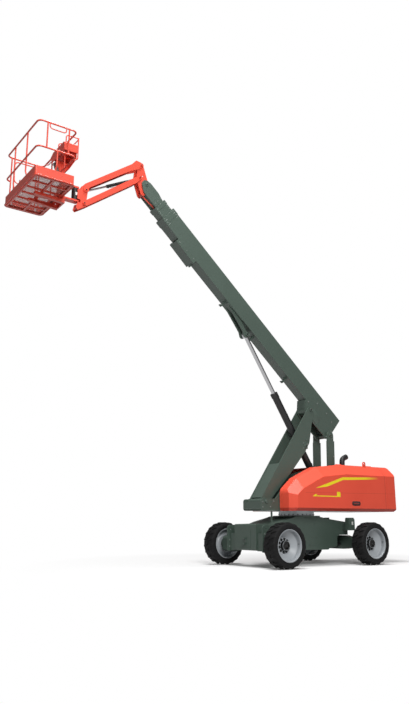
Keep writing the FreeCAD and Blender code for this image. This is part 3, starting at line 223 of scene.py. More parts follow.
dark_red = painted("deep red enamel", linear(140, 44, 34), linear(124, 38, 30), 0.4)


def hood_finish():
    """Glossy orange covers with two yellow bars, a creased flank with painted shade along its fold, and
    painted shade darkening the lower edge.
    """
    body = linear(246, 90, 66)
    finish = Finish("hood orange", body, 0.3, Coat_Roughness=0.2, Specular_IOR_Level=0.3)
    x, y, z = finish.x, finish.y, finish.z
    mottle = finish.noise(1.8, 3.0)
    colour = finish.mix(finish.ramp(mottle, 0.35, 0.75) * 0.5, body, linear(236, 82, 60))
    flank = finish.ramp(x.abs(), 0.760, 0.775)
    # painted shade: the lower edge, which faces down, is darkened to deep red in the colour
    shaded_low_edge = 1 - finish.ramp(z, 1.250, 1.266)
    colour = finish.mix(shaded_low_edge * 0.75, colour, linear(150, 46, 34))
    # upper bar: a wedge that climbs to the knee, then runs level and fades out
    rising_top = 1.695 + (y + 0.11) * 0.3058
    rising_low = (1.695 + (y + 0.11) * 0.116).maximum(1.739 + (y - 0.27) * 0.3165)
    top_line = rising_top.minimum(1.965 + (y - 0.773) * 0.030)
    low_line = rising_low.minimum(1.902 + (y - 0.785) * 0.043)
    wedge = (z < top_line) * (z > low_line) * (y > -0.11)
    fade = 1 - finish.ramp(y, 1.55, 2.02)
    upper_bar = wedge * flank * fade
    # lower bar: a thin line between two end blocks
    slanted = y + (z - 1.51) * -1.8
    thin = (z > 1.512) * (z < 1.532) * (slanted > -0.213) * (y < 0.680)
    left_block = (z > 1.512) * (z < 1.562) * (slanted > -0.213) * (slanted < -0.150)
    right_block = (z > 1.512) * (z < 1.625) * (y > 0.565) * (y < 0.680)
    lower_bar = thin.maximum(left_block).maximum(right_block) * flank
    yellow = linear(255, 232, 42)
    colour = finish.mix(upper_bar.maximum(lower_bar), colour, yellow)
    # painted shade: the fold on the flank is a thin darkened line; the rear seam is a dark joint
    crease_shade = 1 - finish.ramp((z - 1.592 - (y + 0.3) * 0.010).abs(), 0.0, 0.006)
    crease_shade = crease_shade * (y > -0.42) * flank
    seam_rear = 1 - finish.ramp((y - 2.240).abs(), 0.0, 0.006)
    crease_shade_and_seam = crease_shade * 0.35 + seam_rear * 0.8 * (y > 0)
    colour = finish.mix(crease_shade_and_seam.clamp(), colour, linear(120, 36, 28))
    finish.feed("Base Color", colour)
    finish.feed("Roughness", 0.42 + mottle * 0.10)
    finish.feed("Coat Weight", 0.06 + mottle * 0.06)
    groove = crease_shade_and_seam.clamp() * -1.0 + finish.noise(240.0, 2.0) * 0.04
    finish.feed("Normal", finish.bump(groove, 0.6, 0.002))
    return finish.material


def rubber():
    finish = Finish("tyre rubber", linear(18, 18, 19), 0.75, Specular_IOR_Level=0.25)
    dust = finish.noise(9.0, 5.0)
    finish.feed("Base Color", finish.mix(finish.ramp(dust, 0.4, 0.8) * 0.5, linear(16, 16, 17),
                                         linear(28, 28, 28)))
    finish.feed("Roughness", 0.68 + dust * 0.15)
    finish.feed("Normal", finish.bump(finish.noise(180.0, 3.0), 0.3, 0.001))
    return finish.material


def chrome():
    finish = Finish("chromed rod", (0.42, 0.42, 0.43), 0.12, 1.0)
    streak = finish.noise(90.0, 2.0)
    finish.feed("Roughness", 0.08 + streak * 0.08)
    return finish.material


def steel():
    finish = Finish("machined steel", linear(176, 180, 183), 0.34, 0.75)
    grain = finish.noise(60.0, 3.0)
    finish.feed("Roughness", 0.28 + grain * 0.14)
    finish.feed("Normal", finish.bump(grain, 0.1, 0.0008))
    return finish.material


SLOT_FINISH = {
    "green_paint": green_paint, "dark_green_paint": dark_green_paint, "orange_paint": orange_paint,
    "hood_paint": hood_finish(), "tyre_rubber": rubber(), "rim_paint": rim_paint, "black_metal": black_metal,
    "rod_chrome": chrome(), "bare_steel": steel(), "floor_mesh": mesh_paint, "engine_iron": engine_iron,
    "grey_plastic": grey_plastic,
}


def dress_frame():
    """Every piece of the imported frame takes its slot's finish."""
    for part in frame["record"]["subparts"]:
        node = frame["nodes"][part["node"]]
        node.data.materials.clear()
        node.data.materials.append(SLOT_FINISH[part["material_slot"]])


FLOOR_LIFT = 0.06


# ---------------------------------------------------------------- light, floor and camera
def light_stage():
    world = bpy.data.worlds.new("studio")
    bpy.context.scene.world = world
    world.use_nodes = True
    nodes = world.node_tree.nodes
    links = world.node_tree.links
    background = nodes["Background"]
    background.inputs["Color"].default_value = (1.0, 1.0, 1.0, 1.0)
    path = nodes.new("ShaderNodeLightPath")
    seen = nodes.new("ShaderNodeMath")
    seen.operation = "ADD"
    links.new(path.outputs["Is Camera Ray"], seen.inputs[0])
    links.new(path.outputs["Is Transmission Ray"], seen.inputs[1])
    seen.use_clamp = True
    strength = nodes.new("ShaderNodeMapRange")
    links.new(seen.outputs[0], strength.inputs["Value"])
    strength.inputs["To Min"].default_value = 0.24
    strength.inputs["To Max"].default_value = 1.0
    links.new(strength.outputs[0], background.inputs["Strength"])
    for name, place, aim, size, energy in (
            ("key light", (1.5, -3.5, 18.0), (0.0, -1.5, 3.0), 7.0, 2500.0),
            ("side light", (14.0, -8.5, 10.5), (0.0, -1.0, 3.5), 8.0, 2050.0)):
        lamp = bpy.data.lights.new(name, "AREA")
        lamp.energy = energy
        lamp.size = size
        holder = bpy.data.objects.new(name, lamp)
        holder.location = place
        holder.rotation_euler = (Vector(aim) - Vector(place)).to_track_quat("-Z", "Y").to_euler()
        bpy.context.collection.objects.link(holder)


def lay_floor():
    """A pale floor that fades into the white backdrop far out and keeps the soft shadow near by."""
    bpy.ops.mesh.primitive_plane_add(size=200.0, location=(0.0, 0.0, 0.0))
    floor = bpy.context.object
    floor.name = "floor"
    finish = Finish("pale floor", (0.86, 0.86, 0.86), 0.9)
    nodes = finish.nodes
    links = finish.links
    path = nodes.new("ShaderNodeLightPath")
    seen = Sock(finish, path.outputs["Is Camera Ray"]) + Sock(finish, path.outputs["Is Glossy Ray"])
    seen = (seen + Sock(finish, path.outputs["Is Transmission Ray"])).clamp()
    away = finish.node("ShaderNodeVectorMath", {"operation": "LENGTH"}, [finish.place], 1)
    far = finish.ramp(away, 2.8, 6.5)
    glow = finish.node("ShaderNodeEmission", {}, {"Color": (1.0, 1.0, 1.0), "Strength": 1.0})
    lifted = finish.node("ShaderNodeEmission", {}, {"Color": (1.0, 1.0, 1.0), "Strength": FLOOR_LIFT})
    near = finish.node("ShaderNodeAddShader", {}, [Sock(finish, finish.surface.outputs[0]), lifted])
    shown = finish.node("ShaderNodeMixShader", {}, [far, near, glow])
    plain = finish.node("ShaderNodeBsdfDiffuse", {}, {"Color": (0.22, 0.22, 0.22)})
    whole = finish.node("ShaderNodeMixShader", {}, [seen, plain, shown])
    links.new(whole.socket, nodes["Material Output"].inputs["Surface"])
    floor.data.materials.append(finish.material)


def set_camera():
    lens = bpy.data.cameras.new("camera")
    lens.sensor_width = 36.0
    lens.sensor_fit = "AUTO"
    lens.lens = 35.10
    lens.clip_end = 400.0
    holder = bpy.data.objects.new("camera", lens)
    holder.location = (12.2611, -11.2485, 0.9717)
    holder.rotation_euler = Euler((math.pi / 2 + 0.2414, 0.0, 0.9578), "XYZ")
    bpy.context.collection.objects.link(holder)
    bpy.context.scene.camera = holder


# ---------------------------------------------------------------- modelling by operator
def clear():
    bpy.ops.object.select_all(action="DESELECT")


def open_up(piece):
    """Edit mode on one piece, with all of it selected."""
    clear()
    piece.select_set(True)
    bpy.context.view_layer.objects.active = piece
    bpy.ops.object.mode_set(mode="EDIT")
    bpy.ops.mesh.select_mode(type="FACE")
    bpy.ops.mesh.select_all(action="SELECT")


def close_up(piece):
    """Back to object mode, with the place of the piece in its mesh."""
    bpy.ops.object.mode_set(mode="OBJECT")
    bpy.ops.object.transform_apply(location=True, rotation=True, scale=True)
    return piece


def pick(piece, kind, rule):
    """Selects the faces, edges or verts of the piece in edit mode that the rule says yes to."""
    mesh = bmesh.from_edit_mesh(piece.data)
    bpy.ops.mesh.select_mode(type={"faces": "FACE", "edges": "EDGE", "verts": "VERT"}[kind])
    bpy.ops.mesh.select_all(action="DESELECT")
    mesh = bmesh.from_edit_mesh(piece.data)
    for element in getattr(mesh, kind):
        if rule(element):
            element.select_set(True)
    bmesh.update_edit_mesh(piece.data)


def block(low, high, edge, segments=2):
    """A bar or plate between two corners, with its edges rounded."""
    middle = (Vector(low) + Vector(high)) / 2
    clear()
    bpy.ops.mesh.primitive_cube_add(size=1.0, location=middle)
    piece = bpy.context.object
    open_up(piece)
    bpy.ops.transform.resize(value=tuple(Vector(high) - Vector(low)), center_override=tuple(middle))
    bpy.ops.mesh.bevel(offset=edge, segments=segments, affect="EDGES")
    return close_up(piece)


def bar(start, end, radius, sides=16, edge=None):
    """A round bar with chamfered ends."""
    start = Vector(start)
    along = Vector(end) - start
    clear()
    bpy.ops.mesh.primitive_cylinder_add(vertices=sides, radius=radius, depth=along.length,
                                        location=start + along / 2,
                                        rotation=along.to_track_quat("Z", "Y").to_euler())
    piece = bpy.context.object
    open_up(piece)
    pick(piece, "faces", lambda face: len(face.verts) > 4)
    bpy.ops.mesh.bevel(offset=edge or radius * 0.15, segments=1, affect="EDGES")
    return close_up(piece)


def recessed_bar(start, end, radius, rim, depth, sides=24):
    """A round bar whose far end has a rim around a sunk face."""
    piece = bar(start, end, radius, sides)
    along = (Vector(end) - Vector(start)).normalized()
    open_up(piece)
    pick(piece, "faces", lambda face: face.normal.dot(along) > 0.99 and len(face.verts) > 4)
    bpy.ops.mesh.inset(thickness=rim, depth=0.0)
    bpy.ops.mesh.inset(thickness=rim * 0.3, depth=-depth)
    return close_up(piece)


def window_frame(low, high, axis, wall, edge):
    """A rectangular ring: a block opened right through along one axis."""
    middle = (Vector(low) + Vector(high)) / 2
    clear()
    bpy.ops.mesh.primitive_cube_add(size=1.0, location=middle)
    piece = bpy.context.object
    open_up(piece)
    bpy.ops.transform.resize(value=tuple(Vector(high) - Vector(low)), center_override=tuple(middle))
    pick(piece, "faces", lambda face: abs(face.normal[axis]) > 0.9)
    bpy.ops.mesh.inset(thickness=wall, use_individual=True)
    bpy.ops.mesh.bridge_edge_loops()
    pick(piece, "edges", lambda edge: edge.calc_face_angle(0.0) > 0.5)
    bpy.ops.mesh.bevel(offset=edge, segments=1, affect="EDGES")
    return close_up(piece)


def pipe(points, radius, sides=10):
    """A bent pipe through the points, as a closed mesh."""
    clear()
    line = bpy.data.curves.new("pipe", "CURVE")
    line.dimensions = "3D"
    line.bevel_depth = radius
    line.bevel_resolution = max(1, sides // 4)
    line.use_fill_caps = True
    line.resolution_u = 6
    spline = line.splines.new("NURBS")
    spline.points.add(len(points) - 1)
    for knot, point in zip(spline.points, points):
        knot.co = tuple(point) + (1.0,)
    spline.order_u = 3
    spline.use_endpoint_u = True
    piece = bpy.data.objects.new("pipe", line)
    bpy.context.collection.objects.link(piece)
    piece.select_set(True)
    bpy.context.view_layer.objects.active = piece
    bpy.ops.object.convert(target="MESH")
    piece = bpy.context.object
    open_up(piece)
    bpy.ops.mesh.remove_doubles(threshold=0.00005)
    bpy.ops.mesh.normals_make_consistent(inside=False)
    return close_up(piece)


def standing_copy(pattern, point, direction, turn=0.0):
    """A copy of a piece that stands on the origin, set on a point and pointing along a direction."""
    copy = pattern.copy()
    copy.data = pattern.data.copy()
    bpy.context.collection.objects.link(copy)
    facing = Vector(direction).to_track_quat("Z", "Y").to_matrix().to_4x4()
    copy.data.transform(Matrix.Translation(point) @ facing @ Matrix.Rotation(turn, 4, "Z"))
    return copy


def drop(*pieces):
    for piece in pieces:
        bpy.data.objects.remove(piece)


def gather(name, pieces, body, finish, smooth=40.0):
    """Joins the pieces into one, names it, and gives it its finish and its body."""
    clear()
    for piece in pieces:
        piece.select_set(True)
    bpy.context.view_layer.objects.active = pieces[0]
    if len(pieces) > 1:
        bpy.ops.object.join()
    whole = bpy.context.object
    whole.name = name
    whole.data.name = name
    bpy.ops.object.shade_smooth_by_angle(angle=math.radians(smooth))
    whole.data.materials.clear()
    whole.data.materials.append(finish)
    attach(whole, body)
    return whole


def spot(node, start, direction):
    """Where a line from start first meets a piece of the frame, and which way that face looks."""
    found, place, normal, _ = frame["nodes"][node].ray_cast(Vector(start), Vector(direction))
    if not found:
        raise ValueError("nothing of %s lies from %s along %s" % (node, start, direction))
    return place, normal


def side_spots(node, places, signs=(1, -1), reach=3.0):
    """The same (y, z) places on the left and right faces of a node."""
    found = []
    for sign in signs:
        for y, z in places:
            place, normal = spot(node, (sign * reach, y, z), (-sign, 0, 0))
            found.append((place, normal))
    return found


def hexagon_bolt(across, height, washer=True):
    """A bolt head on its washer, standing on the origin."""
    head = bar((0, 0, -0.002), (0, 0, height), across / 2, 6, height * 0.2)
    if not washer:
        return head
    ring = bar((0, 0, -0.002), (0, 0, height * 0.25), across * 0.72, 16, height * 0.06)
    clear()
    head.select_set(True)
    ring.select_set(True)
    bpy.context.view_layer.objects.active = head
    bpy.ops.object.join()
    return head


def bolts(name, body, places, across=0.024, height=0.01, finish=None, washer=True):
    pattern = hexagon_bolt(across, height, washer)
    made = [standing_copy(pattern, place, normal, 0.3 * count)
            for count, (place, normal) in enumerate(places)]
    drop(pattern)
    return gather(name, made, body, finish or zinc)


BOOM_PIVOT = Vector((0.0, 0.400, 3.600))
BOOM_ANGLE = math.radians(41.3)
BOOM_FRAME = Matrix.Translation(BOOM_PIVOT) @ Matrix.Rotation(-BOOM_ANGLE, 4, "X")


def boom_point(x, along, above):
    """A point given across, along and above the boom's pivot line."""
    return BOOM_FRAME @ Vector((x, -along, above))


def on_boom(piece):
    piece.data.transform(BOOM_FRAME)
    return piece


def boom_side(node, places, signs=(1, -1)):
    """(along, above) places on the left and right faces of a boom section."""
    found = []
    for sign in signs:
        for along, above in places:
            start = boom_point(sign * 0.6, along, above)
            found.append(spot(node, start, (-sign, 0, 0)))
    return found


def boom_under(node, places):
    """(across, along) places on the underside of a boom section."""
    up = (BOOM_FRAME.to_3x3() @ Vector((0, 0, 1))).normalized()
    return [spot(node, boom_point(x, along, -0.6), up) for x, along in places]


# ---------------------------------------------------------------- wheels
TYRE_RADIUS = 0.472
TYRE_HALF = 0.1745
TREAD_DEPTH = 0.022
LUGS = 20
WHEELS = (("front_left", 1, "wheel_front_left"), ("front_right", -1, "wheel_front_right"),
          ("rear_left", 1, "wheel_rear_left"), ("rear_right", -1, "wheel_rear_right"))


def tyre_casing():
    """The tyre under its tread, about the X axis: a drum with rounded shoulders and stepped walls."""
    clear()
    bpy.ops.mesh.primitive_cylinder_add(vertices=80, radius=TYRE_RADIUS - TREAD_DEPTH, depth=TYRE_HALF * 2,
                                        rotation=(0, math.pi / 2, 0))
    casing = bpy.context.object
    open_up(casing)
    pick(casing, "faces", lambda face: len(face.verts) > 4)
    bpy.ops.mesh.bevel(offset=0.034, segments=4, affect="EDGES")
    for thickness, depth in ((0.012, 0.003), (0.006, 0.004), (0.012, 0.0), (0.006, -0.004), (0.018, -0.002),
                             (0.006, 0.003), (0.008, 0.0), (0.006, -0.008)):
        pick(casing, "faces", lambda face: len(face.verts) > 4)
        bpy.ops.mesh.inset(thickness=thickness, depth=depth, use_individual=True)
    pick(casing, "faces", lambda face: len(face.verts) > 4)
    bpy.ops.mesh.bridge_edge_loops()
    return close_up(casing)


def tread_lug():
    """One slanted tread bar on top of the tyre, from its middle over the shoulder."""
    clear()
    bpy.ops.mesh.primitive_cube_add(size=1.0, location=(0, 0, 0))
    lug = bpy.context.object
    open_up(lug)
    bpy.ops.transform.resize(value=(0.172, 0.056, 0.034), center_override=(0, 0, 0))
    bpy.ops.transform.translate(value=(0.090, 0.0, TYRE_RADIUS - 0.0175))
    pick(lug, "edges", lambda edge: abs(edge.verts[0].co.x - edge.verts[1].co.x) > 0.1)
    bpy.ops.mesh.subdivide(number_cuts=5)
    pick(lug, "faces", lambda face: face.normal.z > 0.9)
    bpy.ops.transform.resize(value=(1.0, 0.78, 1.0), center_override=(0, 0, TYRE_RADIUS))
    for reach, fall in ((0.115, 0.004), (0.143, 0.009), (0.170, 0.034)):
        pick(lug, "verts", lambda vertex: vertex.co.x > reach)
        bpy.ops.transform.translate(value=(0.0, 0.0, -fall))
    for reach, slant in ((0.02, 0.012), (0.05, 0.012), (0.08, 0.011), (0.11, 0.010), (0.14, 0.006)):
        pick(lug, "verts", lambda vertex: vertex.co.x > reach)
        bpy.ops.transform.translate(value=(0.0, slant, 0.0))
    pick(lug, "edges", lambda edge: edge.calc_face_angle(0.0) > 0.9)
    bpy.ops.mesh.bevel(offset=0.004, segments=1, affect="EDGES")
    return close_up(lug)


def make_tyres():
    casing = tyre_casing()
    lug = tread_lug()
    ring = [casing]
    for count in range(LUGS * 2):
        side = count % 2
        one = lug.copy()
        one.data = lug.data.copy()
        bpy.context.collection.objects.link(one)
        if side:
            one.data.transform(Matrix.Rotation(math.pi, 4, "Z"))
        one.data.transform(Matrix.Rotation(count * math.pi / LUGS, 4, "X"))
        ring.append(one)
    drop(lug)
    clear()
    for piece in ring:
        piece.select_set(True)
    bpy.context.view_layer.objects.active = casing
    bpy.ops.object.join()
    pattern = bpy.context.object
    for name, side, body in WHEELS:
        low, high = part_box("tyre_" + name)
        centre = (low + high) / 2
        tyre = pattern.copy()
        tyre.data = pattern.data.copy()
        bpy.context.collection.objects.link(tyre)
        if side < 0:
            tyre.data.transform(Matrix.Rotation(math.pi, 4, "Z"))
        tyre.data.transform(Matrix.Translation((centre.x, centre.y, TYRE_RADIUS)))
        gather("treaded_tyre_" + name, [tyre], body, SLOT_FINISH["tyre_rubber"], 35.0)
        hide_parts("tyre_" + name)
    drop(pattern)


def make_hubs():
    """The black hub cap and the ring of wheel nuts in each dish."""
    for name, side, body in WHEELS:
        low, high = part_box("tyre_" + name)
        x = (low.x + high.x) / 2
        y = (low.y + high.y) / 2
        out = Vector((side, 0, 0))
        cap = recessed_bar((x - side * 0.034, y, TYRE_RADIUS), (x + side * 0.056, y, TYRE_RADIUS), 0.104,
                           0.016, 0.006, 40)
        crown = recessed_bar((x + side * 0.046, y, TYRE_RADIUS), (x + side * 0.060, y, TYRE_RADIUS), 0.046,
                             0.012, 0.004, 6)
        small = hexagon_bolt(0.018, 0.007, False)
        nut = hexagon_bolt(0.040, 0.024)
        stud = bar((0, 0, 0), (0, 0, 0.040), 0.0095, 12)
        pieces = [cap, crown]
        for count in range(10):
            angle = count * math.tau / 10 + 0.2
            place = Vector((x - side * 0.035, y + 0.135 * math.cos(angle),
                            TYRE_RADIUS + 0.135 * math.sin(angle)))
            pieces.append(standing_copy(nut, place, out, angle))
            pieces.append(standing_copy(stud, place, out))
            if count % 2 == 0:
                near = Vector((x + side * 0.052, y + 0.080 * math.cos(angle),
                               TYRE_RADIUS + 0.080 * math.sin(angle)))
                pieces.append(standing_copy(small, near, out))
        drop(small, nut, stud)
        gather("hub_cap_and_nuts_" + name, pieces, body, SLOT_FINISH["black_metal"])


def make_valves():
    """The tyre valve, its stem and cap, in each dish."""
    for name, side, body in WHEELS:
        low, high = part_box("rim_" + name)
        y = (low.y + high.y) / 2
        outer = high.x if side > 0 else low.x
        foot = Vector((outer - side * 0.075, y + 0.285, TYRE_RADIUS + 0.03))
        stem = bar(foot, foot + Vector((side * 0.045, -0.012, 0)), 0.006, 12)
        cap = bar(foot + Vector((side * 0.038, -0.010, 0)),
                  foot + Vector((side * 0.058, -0.015, 0)), 0.008, 12)
        gather("valve_" + name, [stem, cap], body, SLOT_FINISH["black_metal"])


# ---------------------------------------------------------------- chassis
def make_chassis_trim():
    plate_bolts = side_spots("front_axle", [(-1.50, 0.70), (-1.50, 0.56), (-1.50, 0.42), (-1.16, 0.42),
                                            (-1.16, 0.56), (-1.16, 0.70), (-1.33, 0.84), (-1.22, 0.84)],
                             reach=0.68)
    bolts("end_plate_bolts", "chassis", plate_bolts, 0.030, 0.012)
    rows = [(-0.72, 0.86), (-0.52, 0.88), (-0.10, 0.91), (0.12, 0.91), (-0.04, 0.45), (0.10, 0.45),
            (0.24, 0.45), (0.02, 0.62), (0.16, 0.62), (0.02, 0.76), (0.16, 0.76)]
    bolts("frame_side_bolts", "chassis", side_spots("chassis_frame", rows), 0.022, 0.009,
          dark_green_paint)
    ring = []
    for count in range(24):
        angle = (count + 0.5) * math.tau / 24
        direction = Vector((math.cos(angle), math.sin(angle), 0))
        place, normal = spot("slew_ring", direction * 0.9 + Vector((0, 0, 1.115)), -direction)
        ring.append((place, normal))
    bolts("slew_ring_bolts", "chassis", ring, 0.022, 0.009)
    labels = []
    for place, normal in side_spots("chassis_frame", [(1.085, 0.92)]):
        labels.append(block(place + Vector((-0.0015, -0.024, -0.036)), place + Vector((0.0015, 0.024, 0.036)),
                            0.0006, 1))
    gather("blank_plates_on_rear_posts", labels, "chassis", white_label)
    nipple = bar((0, 0, -0.002), (0, 0, 0.014), 0.005, 10)
    grease = [standing_copy(nipple, place, normal)
              for place, normal in side_spots("front_axle", [(-1.33, 0.74)], reach=0.68)]
    drop(nipple)
    gather("grease_points", grease, "chassis", zinc)


# ---------------------------------------------------------------- hoods, turntable and exhaust
def make_hood_latches():
    """A sunk oval pull in each hood, low down near its rear."""
    for side, sign in (("left", 1), ("right", -1)):
        place, _ = spot("hood_" + side, (sign * 2, 1.195, 1.372), (-sign, 0, 0))
        clear()
        bpy.ops.mesh.primitive_cube_add(size=1.0, location=place)
        bezel = bpy.context.object
        open_up(bezel)
        bpy.ops.transform.resize(value=(0.010, 0.285, 0.098), center_override=tuple(place))
        pick(bezel, "edges", lambda edge: abs(edge.verts[0].co.x - edge.verts[1].co.x) > 0.005)
        bpy.ops.mesh.bevel(offset=0.046, segments=8, affect="EDGES")
        pick(bezel, "faces", lambda face: face.normal.x * sign > 0.9)
        bpy.ops.mesh.inset(thickness=0.010)
        bpy.ops.mesh.inset(thickness=0.006, depth=-0.0045)
        close_up(bezel)
        gather("latch_bezel_" + side, [bezel], "hood_" + side, SLOT_FINISH["black_metal"])
        grip = block(place + Vector((-0.003, -0.085, -0.018)), place + Vector((0.003, 0.085, 0.018)), 0.0028)
        tongue = block(place + Vector((-0.003, 0.092, -0.012)), place + Vector((0.004, 0.108, 0.012)), 0.002)
        gather("latch_pull_" + side, [grip, tongue], "hood_" + side, dark_red)


def make_turntable_trim():
    plates = side_spots("turntable_frame", [(-1.27, 1.38), (-1.27, 1.27), (-1.05, 1.28), (-0.95, 1.40),
                                            (-0.75, 1.28)])
    bolts("turntable_plate_bolts", "turntable", plates, 0.028, 0.011)
    caps = []
    for place, normal in side_spots("lower_arm", [(-1.164, 1.391)]):
        caps.append(recessed_bar(place - normal * 0.002, place + normal * 0.008, 0.040, 0.012, 0.004))
    gather("arm_foot_pin_covers", caps, "lower_arm", SLOT_FINISH["green_paint"])


def make_exhaust_trim():
    ring = recessed_bar((0.396, 1.190, 2.292), (0.396, 1.190, 2.312), 0.061, 0.004, 0.0005, 28)
    bolt = block((0.450, 1.178, 2.294), (0.474, 1.202, 2.310), 0.003)
    gather("exhaust_clamp", [ring, bolt], "turntable", zinc)


# ---------------------------------------------------------------- arm, links and lift cylinder
def pin_cover(name, body, places, radius, finish, thick=0.009):
    """Pin end covers with a bolt in the middle of each, on (place, normal) spots."""
    plates = []
    for place, normal in places:
        plates.append(recessed_bar(place - normal * 0.002, place + normal * thick,
                                   radius, radius * 0.2, 0.003))
    gather(name, plates, body, finish)
    bolts(name + "_bolts", body, [(place + normal * (thick - 0.004), normal) for place, normal in places],
          radius * 0.55, 0.009, SLOT_FINISH["black_metal"])


def make_arm_trim():
    green = SLOT_FINISH["green_paint"]
    pin_cover("boom_pivot_covers", "boom_pivot_pin", side_spots("boom_pivot_pin", [(0.400, 3.600)]), 0.050,
              green)
    pin_cover("rear_link_pin_covers", "rear_link_pin", side_spots("rear_link_pin", [(0.975, 3.010)]), 0.046,
              green)
    pin_cover("trunnion_covers", "trunnion_pins", side_spots("trunnion_pins", [(0.185, 2.700)]), 0.048,
              green)
    plates = side_spots("lower_arm", [(0.12, 2.65), (0.23, 2.66), (0.12, 2.77), (0.24, 2.75)])
    bolts("trunnion_plate_bolts", "lower_arm", plates, 0.026, 0.010)
    posts = side_spots("rear_links", [(1.055, 2.50), (1.055, 2.25), (1.02, 2.93), (0.96, 1.75)])
    bolts("rear_link_bolts", "rear_links", posts, 0.026, 0.010)
    keeper = []
    for place, _ in side_spots("lower_arm", [(0.235, 2.86)]):
        keeper.append(block(place - Vector((0.012, 0.05, 0.02)), place + Vector((0.012, 0.05, 0.02)), 0.004))
    gather("hose_keepers_on_arm", keeper, "lower_arm", green)


TRUNNION = Vector((0.0, 0.185, 2.700))
ROD_EYE = Vector((0.0, -1.454, 5.241))


def make_lift_cylinder_trim():
    along = (ROD_EYE - TRUNNION).normalized()
    above = Vector((0, along.z, -along.y))
    foot = TRUNNION - along * 0.52
    head = TRUNNION + along * 1.33
    reach = 0.097
    line = pipe([foot + above * 0.075, foot + above * reach, foot + above * reach + along * 0.10,
                 head + above * reach - along * 0.10, head + above * reach, head + above * 0.078], 0.009)
    ports = [block_on(point, along, above, (0.05, 0.05, 0.03)) for point in (foot + above * 0.086,
                                                                             head + above * 0.086)]
    clips = [block_on(TRUNNION + along * share + above * 0.088, along, above, (0.03, 0.04, 0.024))
             for share in (0.35, 0.85)]
    gather("lift_cylinder_pipe", [line] + ports + clips, "lift_barrel", SLOT_FINISH["black_metal"])
    ring = TRUNNION + along * 1.416
    band = bar(ring, ring + along * 0.026, 0.087, 32, 0.004)
    gather("lift_cylinder_wiper", [band], "lift_barrel", SLOT_FINISH["black_metal"])


def block_on(middle, along, above, size):
    """A small rounded block whose long side lies along a direction."""
    piece = block((-size[0] / 2, -size[1] / 2, -size[2] / 2), (size[0] / 2, size[1] / 2, size[2] / 2),
                  min(size) * 0.15)
    across = along.cross(above).normalized()
    turn = Matrix((along, across, above)).transposed().to_4x4()
    piece.data.transform(Matrix.Translation(middle) @ turn)
    return piece


# ---------------------------------------------------------------- boom
def make_boom_trim():
    green = SLOT_FINISH["green_paint"]
    dark = SLOT_FINISH["dark_green_paint"]
    for name, body, half, low, high, front, length, proud in (
            ("outer_collar", "boom_outer", 0.137, 0.132, 0.564, 5.796, 0.16, 0.004),
            ("middle_collar", "boom_middle", 0.117, 0.172, 0.524, 6.071, 0.10, 0.004)):
        collar = window_frame((-half - proud, -front, low - proud),
                              (half + proud, -front + length, high + proud),
                              1, proud + 0.004, 0.0015)
        gather(name, [on_boom(collar)], body, green)
    near_outer = [(u, n) for n in (0.185, 0.515) for u in (5.60, 5.655, 5.71, 5.765)]
    near_outer += [(5.60, 0.22), (5.71, 0.22), (5.60, 0.48), (5.71, 0.48)]
    spots = boom_side("boom_outer_section", near_outer)
    lifted = [(place + normal * (0.004 if place_along(place) > 5.64 else 0.0), normal)
              for place, normal in spots]
    bolts("outer_pad_screws", "boom_outer", lifted, 0.011, 0.004, pale_metal)
    near_middle = [(u, n) for n in (0.205, 0.49) for u in (5.86, 5.91, 5.96, 6.02)]
    lifted = [(place + normal * (0.004 if place_along(place) > 5.97 else 0.0), normal)
              for place, normal in boom_side("boom_middle_section", near_middle)]
    bolts("middle_pad_screws", "boom_middle", lifted, 0.011, 0.004, pale_metal)
    under = boom_under("boom_outer_section", [(x, u) for x in (-0.09, -0.03, 0.03, 0.09)
                                              for u in (5.45, 5.52, 5.59)])
    bolts("outer_under_screws", "boom_outer", under, 0.014, 0.005, zinc)
    under = boom_under("boom_middle_section", [(x, u) for x in (-0.08, 0.0, 0.08) for u in (5.86, 5.93)])
    bolts("middle_under_screws", "boom_middle", under, 0.014, 0.005, zinc)
    lugs = []
    for u in (3.393, 2.30, 0.963):
        lug = block((-0.035, -u - 0.012, -0.020), (0.035, -u + 0.012, 0.136), 0.004)
        foot = block((-0.050, -u - 0.030, 0.118), (0.050, -u + 0.030, 0.1325), 0.004)
        lip = block((-0.035, -u - 0.055, -0.022), (0.035, -u + 0.012, -0.008), 0.004)
        lugs += [on_boom(lug), on_boom(foot), on_boom(lip)]
    gather("hose_hooks_under_boom", lugs, "boom_outer", dark)
    seam_plates = []
    for sign in (1, -1):
        inner, outer = sorted((sign * 0.1665, sign * 0.1725))
        plate = block((inner, 0.42, 3.33), (outer, 0.72, 3.56), 0.0025)
        turn = Matrix.Rotation(-BOOM_ANGLE, 4, "X")
        middle = Vector((0, 0.57, 3.445))
        plate.data.transform(Matrix.Translation(middle) @ turn @ Matrix.Translation(-middle))
        seam_plates.append(plate)
    gather("tail_cover_plates", seam_plates, "boom_outer", green)
    ring = side_spots("boom_tail_plates", [(0.66, 3.78), (0.96, 3.56), (1.12, 3.36), (1.09, 3.13),
                                           (0.90, 2.99), (0.36, 3.80), (0.36, 3.52)])
    bolts("tail_plate_bolts", "boom_outer", ring, 0.026, 0.010)
    eye = Vector((0.0, -1.454, 5.241))
    covers = side_spots("lift_bracket", [(eye.y, eye.z)])
    ears = []
    for place, normal in covers:
        place = Vector((math.copysign(0.098, place.x), eye.y, eye.z))
        normal = Vector((math.copysign(1.0, place.x), 0, 0))
        ears.append((place, normal))
    pin_cover("lift_eye_covers", "boom_outer", ears, 0.058, dark)
    tray_bolts = boom_side("hose_tray", [(4.66, 0.10), (4.90, 0.10), (5.14, 0.10)])
    bolts("tray_bolts", "boom_outer", tray_bolts, 0.018, 0.006, zinc)


def place_along(place):
    """How far along the boom a point lies."""
    return -(BOOM_FRAME.inverted() @ Vector(place)).y


